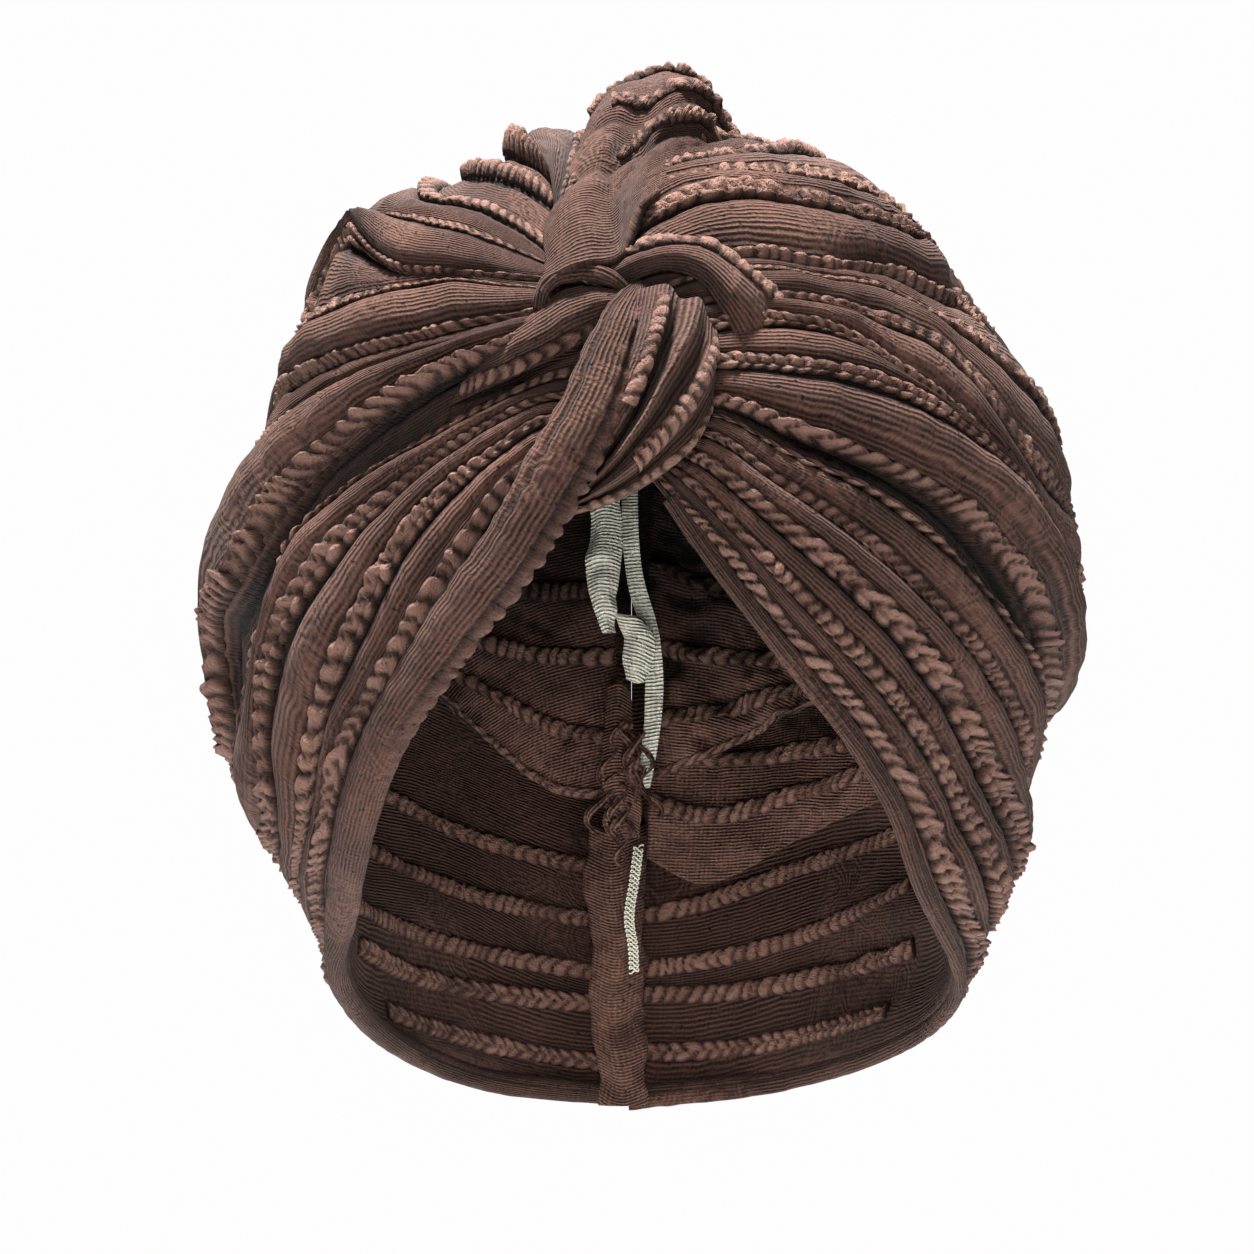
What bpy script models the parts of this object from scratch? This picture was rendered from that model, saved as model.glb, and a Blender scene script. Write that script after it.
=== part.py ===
"""A pre-tied knit turban with a twist knot at the front, as it stands on a head.

Two cloth wings leave the knot, wrap round the sides in rolls and meet at a seam that runs from the
nape over the crown. Lengths are millimetres until a mesh is made. +Z is up and the front looks
along -Y. The origin is where the top of a head meets the inside of the crown.
"""

import bmesh
import bpy
import numpy as np

MM = 0.001
WALL = 2.4
FOLD_GAIN = 1.6
CUT_GAP = 0.35
SEAM_GAP = 0.25
STATIONS_ALONG = 19
FLAT_ENOUGH = 0.03
SECTION_POWER = 2.2
HEAD_CENTRE = np.array([0.0, 0.0, -90.0])

# Along a fold line, from the knot to the seam at the back: where its roll's height is read, and
# where and how much of its crest's height is kept.
ROLL_SHARES = (0.0, 0.09, 0.25, 0.55, 1.0)
CREST_SHARES = (0.0, 0.09, 0.5, 1.0)
CREST_KEPT = (0.1, 0.8, 1.0, 0.35)

# The fold tables are read in a front view: places are given at the depth of the origin, as seen
# by an eye this far in front of it and at this height.
EYE_DISTANCE = 1000.0
EYE_HEIGHT = -96.5
SEEN_ROUNDS = 60
SEATED_ROUNDS = 26

# Level sections of the wrap under its rolls: height, left and right half widths, front and back depths.
SECTIONS = np.array(
    [
        (-216, 54, 56, 40, 92),
        (-200, 61, 65, 50, 97),
        (-180, 66, 74, 60, 103),
        (-165, 66, 76, 67, 106),
        (-150, 74, 83, 79, 108),
        (-130, 86, 85, 89, 110),
        (-110, 88, 91, 95, 111),
        (-90, 89, 95, 99, 110),
        (-65, 81, 93, 100, 107),
        (-45, 74, 88, 97, 100),
        (-25, 68, 71, 91, 88),
        (-12, 62, 61, 80, 76),
        (-5, 52, 54, 71, 64),
        (0, 41, 48, 60, 52),
        (3, 33, 41, 50, 42),
        (6, 22, 31, 38, 30),
        (9, 6, 12, 16, 12),
    ],
    float,
)

# The shares of a section's half width at the side, the back quarter and the seam.
BEYOND_SHARES = (1.0, 0.62, 0.0)

# The cutter of the room inside: its places round and up, and the angle of its lowest ring.
HEAD_TURNS = 32
HEAD_RISES = 18
HEAD_LOWEST = -1.2

# The seam line between the wings: from the knot in the front view, then over the crown in plan.
MID_FRONT = ((-17.5, -13.5), (-16.5, -7.5), (-14, 0.5))
MID_TOP = ((-9, -25), (-4, 5), (0, 35), (0, 66))
MID_TOP_HEIGHT = 9.0
CROWN_PATH_HEIGHT = 6.0

# Crown folds, in plan (x, y) from the knot to the seam at the back:
# name, path, crest height, roll height at the front, side and back of the band below it, steps.
LEFT_CROWN = (
    ("seam", None, 3.0, 1.0, 2.0, 0.5, 3),
    (
        "tall_gather",
        ((-17, -84), (-22, -55), (-25, -15), (-24, 12), (-16, 45), (0, 75)),
        5.0, -1.5, -3.0, 0.5, 3,
    ),
    (
        "low_gather",
        ((-18, -87), (-29, -58), (-37, -20), (-37, 12), (-27, 52), (0, 84)),
        3.0, -1.0, -2.0, 0.5, 3,
    ),
)
RIGHT_CROWN = (
    ("seam", None, 3.0, 1.0, 2.0, 0.5, 2),
    ("crown_roll", ((-12, -80), (10, -48), (26, -14), (27, 18), (18, 50), (0, 75)), 3.0, 1.0, 1.0, 0.5, 2),
)

# Wing folds, top to bottom. Each row is one ruffle line: its places in the front view from the
# knot outwards, its height at the side, back quarter and back seam, then the roll under it: crest
# height, roll height at the front, side and back, and the steps across it.
LEFT_FOLDS = (
    ("shoulder", ((-18, -11), (-30, -4.5), (-43.5, -2)), 0, -12, -38, 2.0, 1.5, 2.5, 0.8, 2),
    (
        "first",
        ((-17.5, -14.8), (-30, -10.5), (-41.5, -8), (-53, -6.5)),
        -11, -32, -58, 2.5, 4.0, 3.0, 0.8, 3,
    ),
    (
        "second",
        ((-15, -18), (-30, -17.5), (-47, -17), (-65.5, -15.5), (-74, -23)),
        -31, -55, -78, 1.0, 1.0, 1.0, 0.8, 2,
    ),
    (
        "third",
        ((-11, -21), (-26, -19.5), (-41.5, -19), (-54, -21), (-66.5, -26), (-74.5, -36)),
        -52, -77, -98, 2.0, 3.5, 2.0, 0.8, 3,
    ),
    (
        "fourth",
        ((-7, -23.5), (-18, -24.5), (-30, -27), (-43.5, -30.5), (-58.5, -34.5), (-70, -40), (-78, -51)),
        -67, -95, -117, 2.0, 1.5, 1.5, 0.8, 2,
    ),
    (
        "fifth",
        ((-4, -26), (-20, -27.5), (-39, -33.5), (-53, -38), (-65.5, -44.5), (-75.5, -53), (-84, -66)),
        -87, -115, -135, 2.5, 4.5, 3.5, 0.8, 3,
    ),
    (
        "sixth",
        (
            (-4, -28.5), (-18, -29), (-35.5, -35.5), (-51.5, -45),
            (-65.5, -56.5), (-75.5, -68), (-85, -83), (-91, -101),
        ),
        -114, -133, -152, 3.0, -2.5, -2.5, 0.8, 3,
    ),
    (
        "eighth",
        (
            (-9, -38), (-18, -39.5), (-30, -45), (-41.5, -51.5),
            (-64, -65.5), (-73.5, -75.5), (-79, -88), (-85, -108),
        ),
        -131, -150, -169, 0.5, 3.5, 2.5, 0.8, 3,
    ),
    (
        "ninth",
        (
            (-12, -43.5), (-20, -44.5), (-30, -49.5), (-41.5, -57.5), (-53, -66.5),
            (-65.5, -79), (-75.5, -94), (-80, -113), (-79, -131),
        ),
        -148, -165, -182, 1.0, 3.0, 2.0, 0.8, 2,
    ),
    (
        "inner",
        (
            (-14, -48.5), (-22, -50), (-30, -56), (-41.5, -66),
            (-50.5, -77), (-58, -91), (-66, -109), (-70, -131),
        ),
        -158, -177, -191, 1.5, 3.0, 2.0, 0.8, 2,
    ),
    (
        "tenth",
        ((-16.5, -54), (-29, -65.5), (-35.5, -76), (-45, -90.5), (-53, -105), (-62, -121), (-67, -138)),
        -169, -197, -204, 1.5, 1.0, 1.0, 0.3, 2,
    ),
    (
        "under_hem",
        ((-18, -61), (-28, -71.5), (-35.5, -81.5), (-45, -96), (-53, -109), (-60.5, -124), (-65, -140)),
        -175.5, -205, -211, 0.0, 0, 0, 0, 0,
    ),
)
RIGHT_FOLDS = (
    ("top", ((-10, -11), (6.5, 4), (25, 7), (42, 3)), -6, -18, -30, 2.5, 2.0, 2.0, 0.8, 2),
    ("second", ((-9, -12.5), (4, 0), (21, 3), (35, 2), (50, -1.5)), -16, -26, -40, 2.0, 2.5, 2.0, 0.8, 2),
    (
        "third",
        ((-7.5, -14), (6, -4), (21, -1), (38, -3.5), (55.5, -8.5), (66, -15)),
        -28, -36, -50, 2.5, 3.0, 2.0, 0.8, 3,
    ),
    (
        "fifth",
        ((0, -16.5), (15.5, -12), (27, -12), (38, -14), (55.5, -16), (66.5, -21), (74, -28)),
        -44, -50, -62, 0.5, 1.0, 1.5, 0.8, 2,
    ),
    (
        "sixth",
        ((5, -19.5), (24.5, -16), (41.5, -18.5), (55.5, -21.5), (66.5, -28), (78, -36)),
        -60, -66, -77, 2.0, 2.0, 2.0, 0.8, 2,
    ),
    (
        "eighth",
        ((9, -23.5), (30, -22), (49.5, -26.5), (66.5, -34), (76, -44), (85, -57)),
        -76, -82, -92, 2.0, 2.5, 2.0, 0.8, 2,
    ),
    (
        "seventh",
        ((12, -28.5), (32.5, -27), (49.5, -33), (59, -40), (70, -48), (80, -59), (89, -74)),
        -90, -98, -107, 2.0, 2.5, 2.0, 0.8, 2,
    ),
    (
        "ninth",
        ((13, -36), (24, -36.5), (35, -38), (49.5, -41), (66.5, -49), (80, -60), (90, -76)),
        -102, -113, -122, 3.0, 4.5, 3.5, 0.8, 3,
    ),
    (
        "tenth",
        ((13, -43), (24, -45.5), (35, -49.5), (49.5, -55), (68, -64), (82, -77), (91, -92)),
        -116, -127, -137, 1.0, -4.0, -3.0, 0.8, 2,
    ),
    (
        "eleventh",
        ((12, -46.5), (22, -49), (36, -57), (52, -64), (69, -77), (81, -91), (89.5, -106)),
        -128, -140, -152, 1.5, 3.0, 2.0, 0.8, 2,
    ),
    (
        "twelfth",
        ((10, -50), (20, -53.5), (31.5, -62), (49.5, -74.5), (65.5, -89), (77, -103), (84.5, -118)),
        -141, -156, -168, 1.0, 4.5, 3.0, 0.8, 3,
    ),
    (
        "thirteenth",
        ((8, -55), (17, -59), (29, -69), (47, -84), (57.5, -94), (67, -106.5), (75, -122)),
        -152, -170, -181, 0.5, 2.0, 1.5, 0.8, 2,
    ),
    (
        "fourteenth",
        (
            (7, -58.5), (14, -64), (22.5, -72.5), (32.5, -83),
            (44, -95), (55.5, -108), (66.5, -124), (73, -139),
        ),
        -162, -180, -190, 2.0, 2.0, 1.5, 0.8, 2,
    ),
    (
        "fifteenth",
        (
            (5, -61), (11, -68), (19.5, -77), (31, -92),
            (42.5, -105.5), (52.5, -118.5), (62.5, -135), (68.5, -150),
        ),
        -173, -197, -204, 1.0, 0.5, 0.5, 0.3, 2,
    ),
    (
        "under_hem",
        (
            (4, -62.5), (10, -70), (17, -79), (28.5, -93),
            (39.5, -107), (50.5, -120.5), (60, -136), (65.5, -151),
        ),
        -179.5, -206, -211.5, 0.0, 0, 0, 0, 0,
    ),
)
LEFT_HEM = (
    (2, -18), (-2.5, -29), (-8.5, -45), (-16.5, -61), (-25.5, -76),
    (-35.5, -90.5), (-47, -108), (-56, -124.5), (-62, -140.5), (-65, -156.5),
)
RIGHT_HEM = ((8.5, -67), (16.5, -78.5), (27.5, -93), (38.5, -107), (49.5, -121), (59, -136.5), (64, -150))
# Heights of the hem beyond the front view: side, back quarter, back seam.
LEFT_HEM_BACK = (-178, -208, -213.5)
RIGHT_HEM_BACK = (-181, -208, -214)

# Knot fan, one row per fold: places in the front view, then how far it stands out.
FAN_FOLDS = (
    ((1, -19.5), (-1, -29), (-5.5, -40.5), (-12, -51.5), (-19, -61), (-21, -67.5), 3.0),
    ((8, -18), (6, -28), (2.5, -39), (-3, -50.5), (-11, -61.5), (-18.5, -69), 8.0),
    ((11, -21.5), (8.5, -30), (4.5, -40), (-1.5, -52), (-9.5, -62), (-18.2, -69.5), 3.5),
    ((15.5, -21), (13, -30), (8, -39.5), (1, -51.5), (-7.5, -62), (-18, -70), 9.5),
    ((17, -25), (16, -32), (11, -41), (3.5, -52), (-6, -62.5), (-17.8, -70.4), 5.5),
    ((19, -29), (18, -36), (13.5, -44.5), (6, -54), (-4.5, -63.5), (-17.6, -70.8), 9.0),
    ((19.3, -34), (18.3, -41), (14.5, -48.5), (7.5, -56.5), (-3, -64.7), (-17.4, -71.2), 5.5),
    ((19, -40), (17.5, -47), (14, -54), (7.5, -60), (-2.5, -66.2), (-17.2, -71.6), 6.5),
    ((18, -43.5), (16.5, -50.5), (12.5, -57), (5.5, -62.8), (-3.5, -67.8), (-17, -72), 1.0),
)
OVER_LOOP = (
    ((-10, -17.5), (-5, -13.5), (2, -10.5), (10, -8.5), (16.5, -9), (25, -14), (33, -19.5), (38, -25), 2.5),
    (
        (-9.5, -18.5), (-4.5, -15), (2, -12), (10, -10.5),
        (16.5, -11.5), (24.5, -17.5), (31.5, -24), (36, -29.5),
        7.0,
    ),
    (
        (-8.5, -19.5), (-3.5, -16.5), (2.5, -14), (9.5, -12.8),
        (16, -14.5), (23, -21.5), (28.5, -28), (32, -33.5),
        6.5,
    ),
    (
        (-7, -20.5), (-2.5, -18.5), (3, -16.5), (9, -15.5),
        (14.5, -17.5), (20.5, -25), (24, -32), (26, -37.5),
        1.0,
    ),
)
COLLAR = ((-21.5, -24), (-20, -19), (-16.5, -16.5), (-10.5, -15.5), (-5, -17), (-1, -20))

# The peak: a fold of cloth that rises from the knot and stands open to the front. One row per
# rib, from its left foot to its right foot, and each place is (x, y, z).
PEAK_RIBS = (
    ((-18, -88, -18), (-16.5, -72, -7), (-13, -45, 2), (-9, -10, 3), (-4, 20, -1)),
    ((-14.5, -91, -15), (-11, -72, 0.5), (-8, -45, 14), (-4.5, -12, 19), (-1, 26, 3)),
    ((-10, -91, -13), (-6.5, -70, 3), (-2, -42, 19), (2.5, -12, 25), (4, 30, 3)),
    ((-4, -86, -12), (-1, -62, 4), (3, -44, 16), (8.5, -12, 27.2), (9, 30, 3)),
    ((4, -64, 4), (7, -54, 11), (10, -40, 19), (13.5, -12, 26), (13, 30, 2.5)),
    ((12, -53, 6), (14.5, -46, 11), (16, -34, 17), (18, -12, 21), (17, 26, 1)),
    ((21, -40, 3), (22, -35, 5), (23, -27, 6), (24, -12, 6), (21, 18, -2)),
)

# Sheets that hang inside: one row per height, places (x, y, z) across. The first row of each of
# these is moved on to the wrap's surface, where the wall cuts it off.
LEFT_INNER_FOLD = (
    ((-70, 40, -80), (-52, 68, -66), (-30, 88, -56), (-4, 95, -50)),
    ((-62, 42, -92), (-46, 66, -88), (-27, 80, -84), (-4, 84, -80)),
    ((-55, 46, -100), (-40, 64, -106), (-23, 74, -110), (-4, 78, -108)),
    ((-51, 49, -108), (-36, 63, -124), (-19, 71, -137), (-5, 76, -139)),
)
RIGHT_UPPER_FOLD = (
    ((5, 97, -54), (24, 90, -60), (48, 74, -70), (72, 42, -80)),
    ((5, 88, -84), (22, 82, -88), (44, 68, -92), (66, 44, -96)),
    ((5, 83, -110), (21, 76, -110), (41, 64, -108), (60, 46, -104)),
    ((6, 80, -134), (22, 73, -127), (40, 62, -117), (56, 48, -109)),
)
RIGHT_LOWER_FOLD = (
    ((5, 102, -106), (24, 97, -108), (46, 83, -106), (70, 58, -104)),
    ((5, 94, -130), (20, 89, -132), (44, 77, -128), (66, 56, -122)),
    ((4, 90, -154), (17, 84, -160), (42, 74, -148), (64, 54, -136)),
)
PALE_TAPE = (
    ((-9.5, 90, -40), (-7, 90, -40), (-3.5, 90, -40)),
    ((-9.5, 82, -62), (-7, 80.5, -62), (-3.5, 82, -62)),
    ((-10.5, 76, -76), (-7, 74, -76), (-2.5, 76, -76)),
    ((-10, 73, -88), (-6.5, 71, -88), (-3.5, 73, -88)),
    ((-7, 71, -98), (-5.5, 70, -98), (-4, 71, -98)),
)
PALE_STRIP = (
    ((-2.5, 97, -47), (1.5, 97, -47)),
    ((-2.5, 87, -62), (1.5, 87, -62)),
    ((-2.5, 80, -84), (1.5, 80, -84)),
    ((-0.5, 77, -104), (4, 77, -104)),
    ((0.5, 76, -122), (4.5, 76, -122)),
)
# The seam's flap: its last place in each row lies in the wall.
SEAM_ALLOWANCE = (
    ((-10, 96, -146), (-4, 93.5, -148), (1.5, 97, -146), (2.5, 109, -146)),
    ((-11.5, 95, -160), (-5, 92, -160), (1.5, 95, -160), (2.5, 108, -160)),
    ((-9.5, 92, -176), (-4, 89.5, -176), (1.5, 92.5, -176), (2.5, 104, -176)),
    ((-10.5, 89, -192), (-4, 86, -192), (1.5, 88.5, -192), (2.5, 100, -192)),
    ((-8, 83.5, -207), (-2.5, 81, -207), (1.5, 83, -207), (2.5, 95, -207)),
)
# These ends hang on the strip: their first rows lie against its front.
FRAYED_TAILS = (
    ((-4.5, 75.3, -108), (3.5, 75.3, -108)),
    ((-6, 74.8, -122), (2.5, 74.8, -122)),
    ((-6, 74.0, -136), (2, 74.0, -136)),
    ((-3, 75, -148), (2, 75, -148)),
)

# The rolled edge of the opening on the left: (share of its length, size) pairs.
LEFT_ROLL_WIDE = (
    (0, 3.2), (0.05, 4.4), (0.12, 6.6), (0.2, 6.4), (0.3, 5.0), (0.5, 4.3), (0.7, 3.3), (1, 2.6),
)
LEFT_ROLL_THICK = ((0, 3.0), (0.1, 4.2), (0.3, 3.8), (0.5, 2.8), (1, 1.7))
LEFT_ROLL_LIFT = ((0, 9.0), (0.08, 12.0), (0.16, 10.5), (0.26, 5.0), (0.4, 1.5), (0.6, 0.0), (1, -1.0))
LEFT_ROLL_PLACES = 38

# The thin edge on the right, the same way.
RIGHT_EDGE_WIDE = ((0, 1.5), (0.5, 2.0), (1, 2.6))
RIGHT_EDGE_THICK = ((0, 1.5), (1, 1.7))
RIGHT_EDGE_LIFT = ((0, 0.5), (1, -0.8))
RIGHT_EDGE_PLACES = 30
RIGHT_EDGE_SIDES = 6

# Knot and peak: places along and across each patch, thicknesses, and the wrap's depth behind them.
FAN_GRID = (11, 17)
FAN_THICK = 5.0
LOOP_GRID = (11, 6)
LOOP_THICK = 6.0
PEAK_GRID = (9, 11)
COLLAR_PLACES = 15
COLLAR_SIDES = 8
COLLAR_DEEP = 2.6
COLLAR_WIDE = 1.7
COLLAR_AHEAD = 3.0
KNOT_DEPTH = -100.0
KNOT_BULGE = 4.0
KNOT_HEIGHT = -42.0
KNOT_SPREAD = 22.0
KNOT_CURVE = 0.012
LOOP_AHEAD = 2.0

# The sheets inside: name, rows, places along and across, thickness, ripple height, ripples,
# whether the first row lies on the wrap's wall, slot.
INNER_SHEETS = (
    ("left_inner_fold", LEFT_INNER_FOLD, 9, 10, 1.8, 0.8, 3, True, "inner_cloth"),
    ("right_upper_fold", RIGHT_UPPER_FOLD, 9, 10, 1.8, 0.8, 3, True, "inner_cloth"),
    ("right_lower_fold", RIGHT_LOWER_FOLD, 9, 8, 1.8, 0.6, 2, True, "inner_cloth"),
    ("seam_allowance", SEAM_ALLOWANCE, 7, 13, 1.4, 0.5, 4, False, "inner_cloth"),
    ("pale_strip", PALE_STRIP, 3, 12, 1.2, 0.0, 1, True, "pale_tape"),
    ("pale_tape", PALE_TAPE, 5, 9, 1.2, 0.3, 2, True, "pale_tape"),
    ("frayed_tails", FRAYED_TAILS, 3, 8, 1.4, 0.0, 1, False, "inner_cloth"),
)

COLOURS = {
    "turban_cloth": ((0.105, 0.052, 0.042), 0.85),
    "inner_cloth": ((0.072, 0.036, 0.029), 0.9),
    "pale_tape": ((0.47, 0.47, 0.39), 0.9),
}


def smooth_rows(keys, rows, at):
    """Rows of a table read at any key, on a smooth curve through them."""
    slopes = np.gradient(rows, keys, axis=0)
    at = np.clip(at, keys[0], keys[-1])
    i = np.clip(np.searchsorted(keys, at, side="right") - 1, 0, len(keys) - 2)
    wider = (...,) + (None,) * (rows.ndim - 1)
    step = (keys[i + 1] - keys[i])[wider]
    t = (at - keys[i])[wider] / step
    return (
        rows[i] * (1 + 2 * t) * (1 - t) ** 2
        + slopes[i] * step * t * (1 - t) ** 2
        + rows[i + 1] * t * t * (3 - 2 * t)
        + slopes[i + 1] * step * t * t * (t - 1)
    )


def through(points, count):
    """Evenly spaced places on a smooth curve through the points."""
    points = np.array(points, float)
    keys = np.concatenate([[0], np.cumsum(np.linalg.norm(np.diff(points, axis=0), axis=1) ** 0.75)])
    fine = smooth_rows(keys, points, np.linspace(0, keys[-1], 240))
    run = np.concatenate([[0], np.cumsum(np.linalg.norm(np.diff(fine, axis=0), axis=1))])
    at = np.linspace(0, run[-1], count)
    return np.stack([np.interp(at, run, fine[:, k]) for k in range(points.shape[1])], axis=1)


def half_sizes(z, right, back):
    found = smooth_rows(SECTIONS[:, 0], SECTIONS[:, 1:], z)
    return np.where(right, found[..., 1], found[..., 0]), np.where(back, found[..., 3], found[..., 2])


def envelope_value(p):
    """1 on the wrap's smooth surface, less inside it and more outside."""
    wide, deep = half_sizes(p[..., 2], p[..., 0] > 0, p[..., 1] > 0)
    above = np.maximum(p[..., 2] - SECTIONS[-1, 0], 0)
    return np.abs(p[..., 0] / wide) ** SECTION_POWER + np.abs(p[..., 1] / deep) ** SECTION_POWER + above


def seated(p):
    """Points moved to the wrap's surface along their rays from the middle of the head."""
    ray = p - HEAD_CENTRE
    low = np.full(p.shape[:-1], 0.4)
    high = np.full(p.shape[:-1], 1.8)
    for _ in range(SEATED_ROUNDS):
        middle = (low + high) / 2
        inside = envelope_value(HEAD_CENTRE + ray * middle[..., None]) < 1
        low = np.where(inside, middle, low)
        high = np.where(inside, high, middle)
    return HEAD_CENTRE + ray * high[..., None]


def outward(p):
    """The surface's direction at each point."""
    step = 0.5
    grad = [
        envelope_value(p + step * axis) - envelope_value(p - step * axis)
        for axis in np.eye(3)
    ]
    grad = np.stack(grad, axis=-1)
    return grad / np.linalg.norm(grad, axis=-1, keepdims=True)


def seen(x, z):
    """The place on the front of the wrap that a front view shows at x, z."""
    y = 0.0
    for _ in range(SEEN_ROUNDS):
        scale = 1 + y / EYE_DISTANCE
        px, pz = x * scale, EYE_HEIGHT + (z - EYE_HEIGHT) * scale
        wide, deep = half_sizes(np.array(pz), px > 0, False)
        rest = max(1 - abs(px / wide) ** SECTION_POWER, 0)
        y = 0.5 * y - 0.5 * deep * rest ** (1 / SECTION_POWER)
    return np.array([px, float(y), pz])


def at_depth(x, z, y):
    """The place at depth y that a front view shows at x, z."""
    scale = 1 + y / EYE_DISTANCE
    return np.array([x * scale, y, EYE_HEIGHT + (z - EYE_HEIGHT) * scale])


def beyond(side, heights):
    """Places on the wrap at its side, its back quarter and its seam, at these heights."""
    found = []
    for height, share in zip(heights, BEYOND_SHARES):
        wide, deep = half_sizes(np.array(float(height)), side > 0, True)
        depth = deep * max(1 - share**SECTION_POWER, 0) ** (1 / SECTION_POWER)
        found.append(np.array([side * wide * share, float(depth), height]))
    return found


def seam_places():
    top = [np.array([x, y, MID_TOP_HEIGHT]) for x, y in MID_TOP]
    return [seen(x, z) for x, z in MID_FRONT] + top


def fold_lines(side, crown, folds):
    """Each fold line of a wing on the wrap's surface, with its heights and steps."""
    lines, heights, steps = [], [], []
    for name, path, crest, *rolls, count in crown:
        if path is None:
            places = seam_places()
        else:
            places = [np.array([x, y, CROWN_PATH_HEIGHT]) for x, y in path]
        lines.append(through(seated(np.array(places)), STATIONS_ALONG))
        heights.append((crest, *rolls))
        steps.append(count)
    for name, front, at_side, quarter, seam, crest, *rolls, count in folds:
        places = [seen(x, z) for x, z in front] + beyond(side, (at_side, quarter, seam))
        lines.append(through(seated(np.array(places)), STATIONS_ALONG))
        heights.append((crest, *rolls))
        steps.append(count)
    return np.array(lines), np.array(heights), steps


def along(front, side, back, u):
    """A height that changes from the front over the side to the back of a line."""
    return np.interp(u, ROLL_SHARES, (front * CREST_KEPT[0], front * CREST_KEPT[1], front, side, back))


def wing(side, crown, folds, swell=0.0):
    """Outer and inner grids of one wing; swell grows it on all sides, for a cutter."""
    lines, heights, steps = fold_lines(side, crown, folds)
    keys = np.arange(len(lines), dtype=float)
    at, bands = [], []
    for k, count in enumerate(steps[:-1]):
        for j in range(count):
            at.append(k + j / count)
            bands.append(k)
    at, bands = np.array(at + [keys[-1]]), np.array(bands + [len(lines) - 2])
    grid = seated(smooth_rows(keys, lines, at))
    normal = outward(grid)
    u = np.linspace(0, 1, STATIONS_ALONG)
    t = at - bands
    lift = np.empty(grid.shape[:2])
    for row, (k, part) in enumerate(zip(bands, t)):
        crest = heights[k, 0] * (1 - part) + heights[k + 1, 0] * part
        fade = np.interp(u, CREST_SHARES, CREST_KEPT)
        roll = along(*heights[k, 1:], u) * np.sin(np.pi * min(part, 1)) ** 0.7
        lift[row] = (crest * fade + roll) * FOLD_GAIN
    grid = kept_clear(grid, SEAM_GAP - swell)
    return grid + normal * (lift + swell)[..., None], grid + normal * (lift - WALL - swell)[..., None]


def kept_clear(grid, gap):
    """The first and last lines and both ends drawn in by a gap, or out where it is below zero."""
    grid = grid.copy()
    for edge, inner in ((0, 1), (-1, -2)):
        way = grid[inner] - grid[edge]
        grid[edge] += way / np.linalg.norm(way, axis=-1, keepdims=True) * gap
        way = grid[:, inner] - grid[:, edge]
        grid[:, edge] += way / np.linalg.norm(way, axis=-1, keepdims=True) * gap
    return grid


def solid(name, outer, inner, slot):
    """A closed wall between two grids of the same size."""
    rows, columns = outer.shape[:2]
    points = np.concatenate([outer.reshape(-1, 3), inner.reshape(-1, 3)]) * MM
    half = rows * columns
    number = np.arange(half).reshape(rows, columns)
    corners = (number[:-1, :-1], number[1:, :-1], number[1:, 1:], number[:-1, 1:])
    quads = np.stack(corners, axis=-1).reshape(-1, 4)
    faces = [tuple(q) for q in quads.tolist()] + [tuple(q[::-1]) for q in (quads + half).tolist()]
    ring = np.concatenate([number[0, :-1], number[:-1, -1], number[-1, :0:-1], number[:0:-1, 0]])
    for a, b in zip(ring, np.roll(ring, -1)):
        faces.append((int(a), int(b), int(b + half), int(a + half)))
    return made(name, points, faces, slot)


def tube(name, path, sideways, outwards, slot, sides=10):
    """A closed rope: at each place of its path it spreads sideways and outwards by these vectors."""
    angle = np.linspace(0, 2 * np.pi, sides, endpoint=False)
    rings = (
        path[:, None]
        + sideways[:, None] * np.cos(angle)[None, :, None]
        + outwards[:, None] * np.sin(angle)[None, :, None]
    )
    count = len(path)
    points = np.concatenate([rings.reshape(-1, 3), path[[0, -1]]]) * MM
    faces = []
    for i in range(count - 1):
        for j in range(sides):
            k = (j + 1) % sides
            faces.append((i * sides + j, i * sides + k, (i + 1) * sides + k, (i + 1) * sides + j))
    last = (count - 1) * sides
    for j in range(sides):
        k = (j + 1) % sides
        faces.append((count * sides, k, j))
        faces.append((count * sides + 1, last + j, last + k))
    return made(name, points, faces, slot)


def made(name, points, faces, slot):
    mesh = bpy.data.meshes.new(name)
    mesh.from_pydata(points.tolist(), [], faces)
    shape = bmesh.new()
    shape.from_mesh(mesh)
    bmesh.ops.recalc_face_normals(shape, faces=shape.faces)
    if shape.calc_volume(signed=True) < 0:
        bmesh.ops.reverse_faces(shape, faces=shape.faces)
    bmesh.ops.triangulate(shape, faces=shape.faces)
    shape.to_mesh(mesh)
    shape.free()
    mesh.shade_smooth()
    obj = bpy.data.objects.new(name, mesh)
    bpy.context.scene.collection.objects.link(obj)
    mesh.materials.append(MATERIALS[slot])
    return obj


def material(name):
    colour, roughness = COLOURS[name]
    found = bpy.data.materials.new(name)
    found.use_nodes = True
    shader = found.node_tree.nodes["Principled BSDF"]
    shader.inputs["Base Color"].default_value = (*colour, 1)
    shader.inputs["Roughness"].default_value = roughness
    shader.inputs["Metallic"].default_value = 0.0
    return found


def carve(obj, cutters):
    """Cuts the cutters' shapes out of an object and keeps its largest body."""
    for cutter in cutters:
        cut = obj.modifiers.new("clear_of_" + cutter.name, "BOOLEAN")
        cut.operation = "DIFFERENCE"
        cut.solver = "EXACT"
        cut.use_self = True
        cut.object = cutter
    graph = bpy.context.evaluated_depsgraph_get()
    mesh = bpy.data.meshes.new_from_object(obj.evaluated_get(graph))
    obj.modifiers.clear()
    old = obj.data
    obj.data = mesh
    bpy.data.meshes.remove(old)
    keep_largest(mesh)
    mesh.name = obj.name


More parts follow.
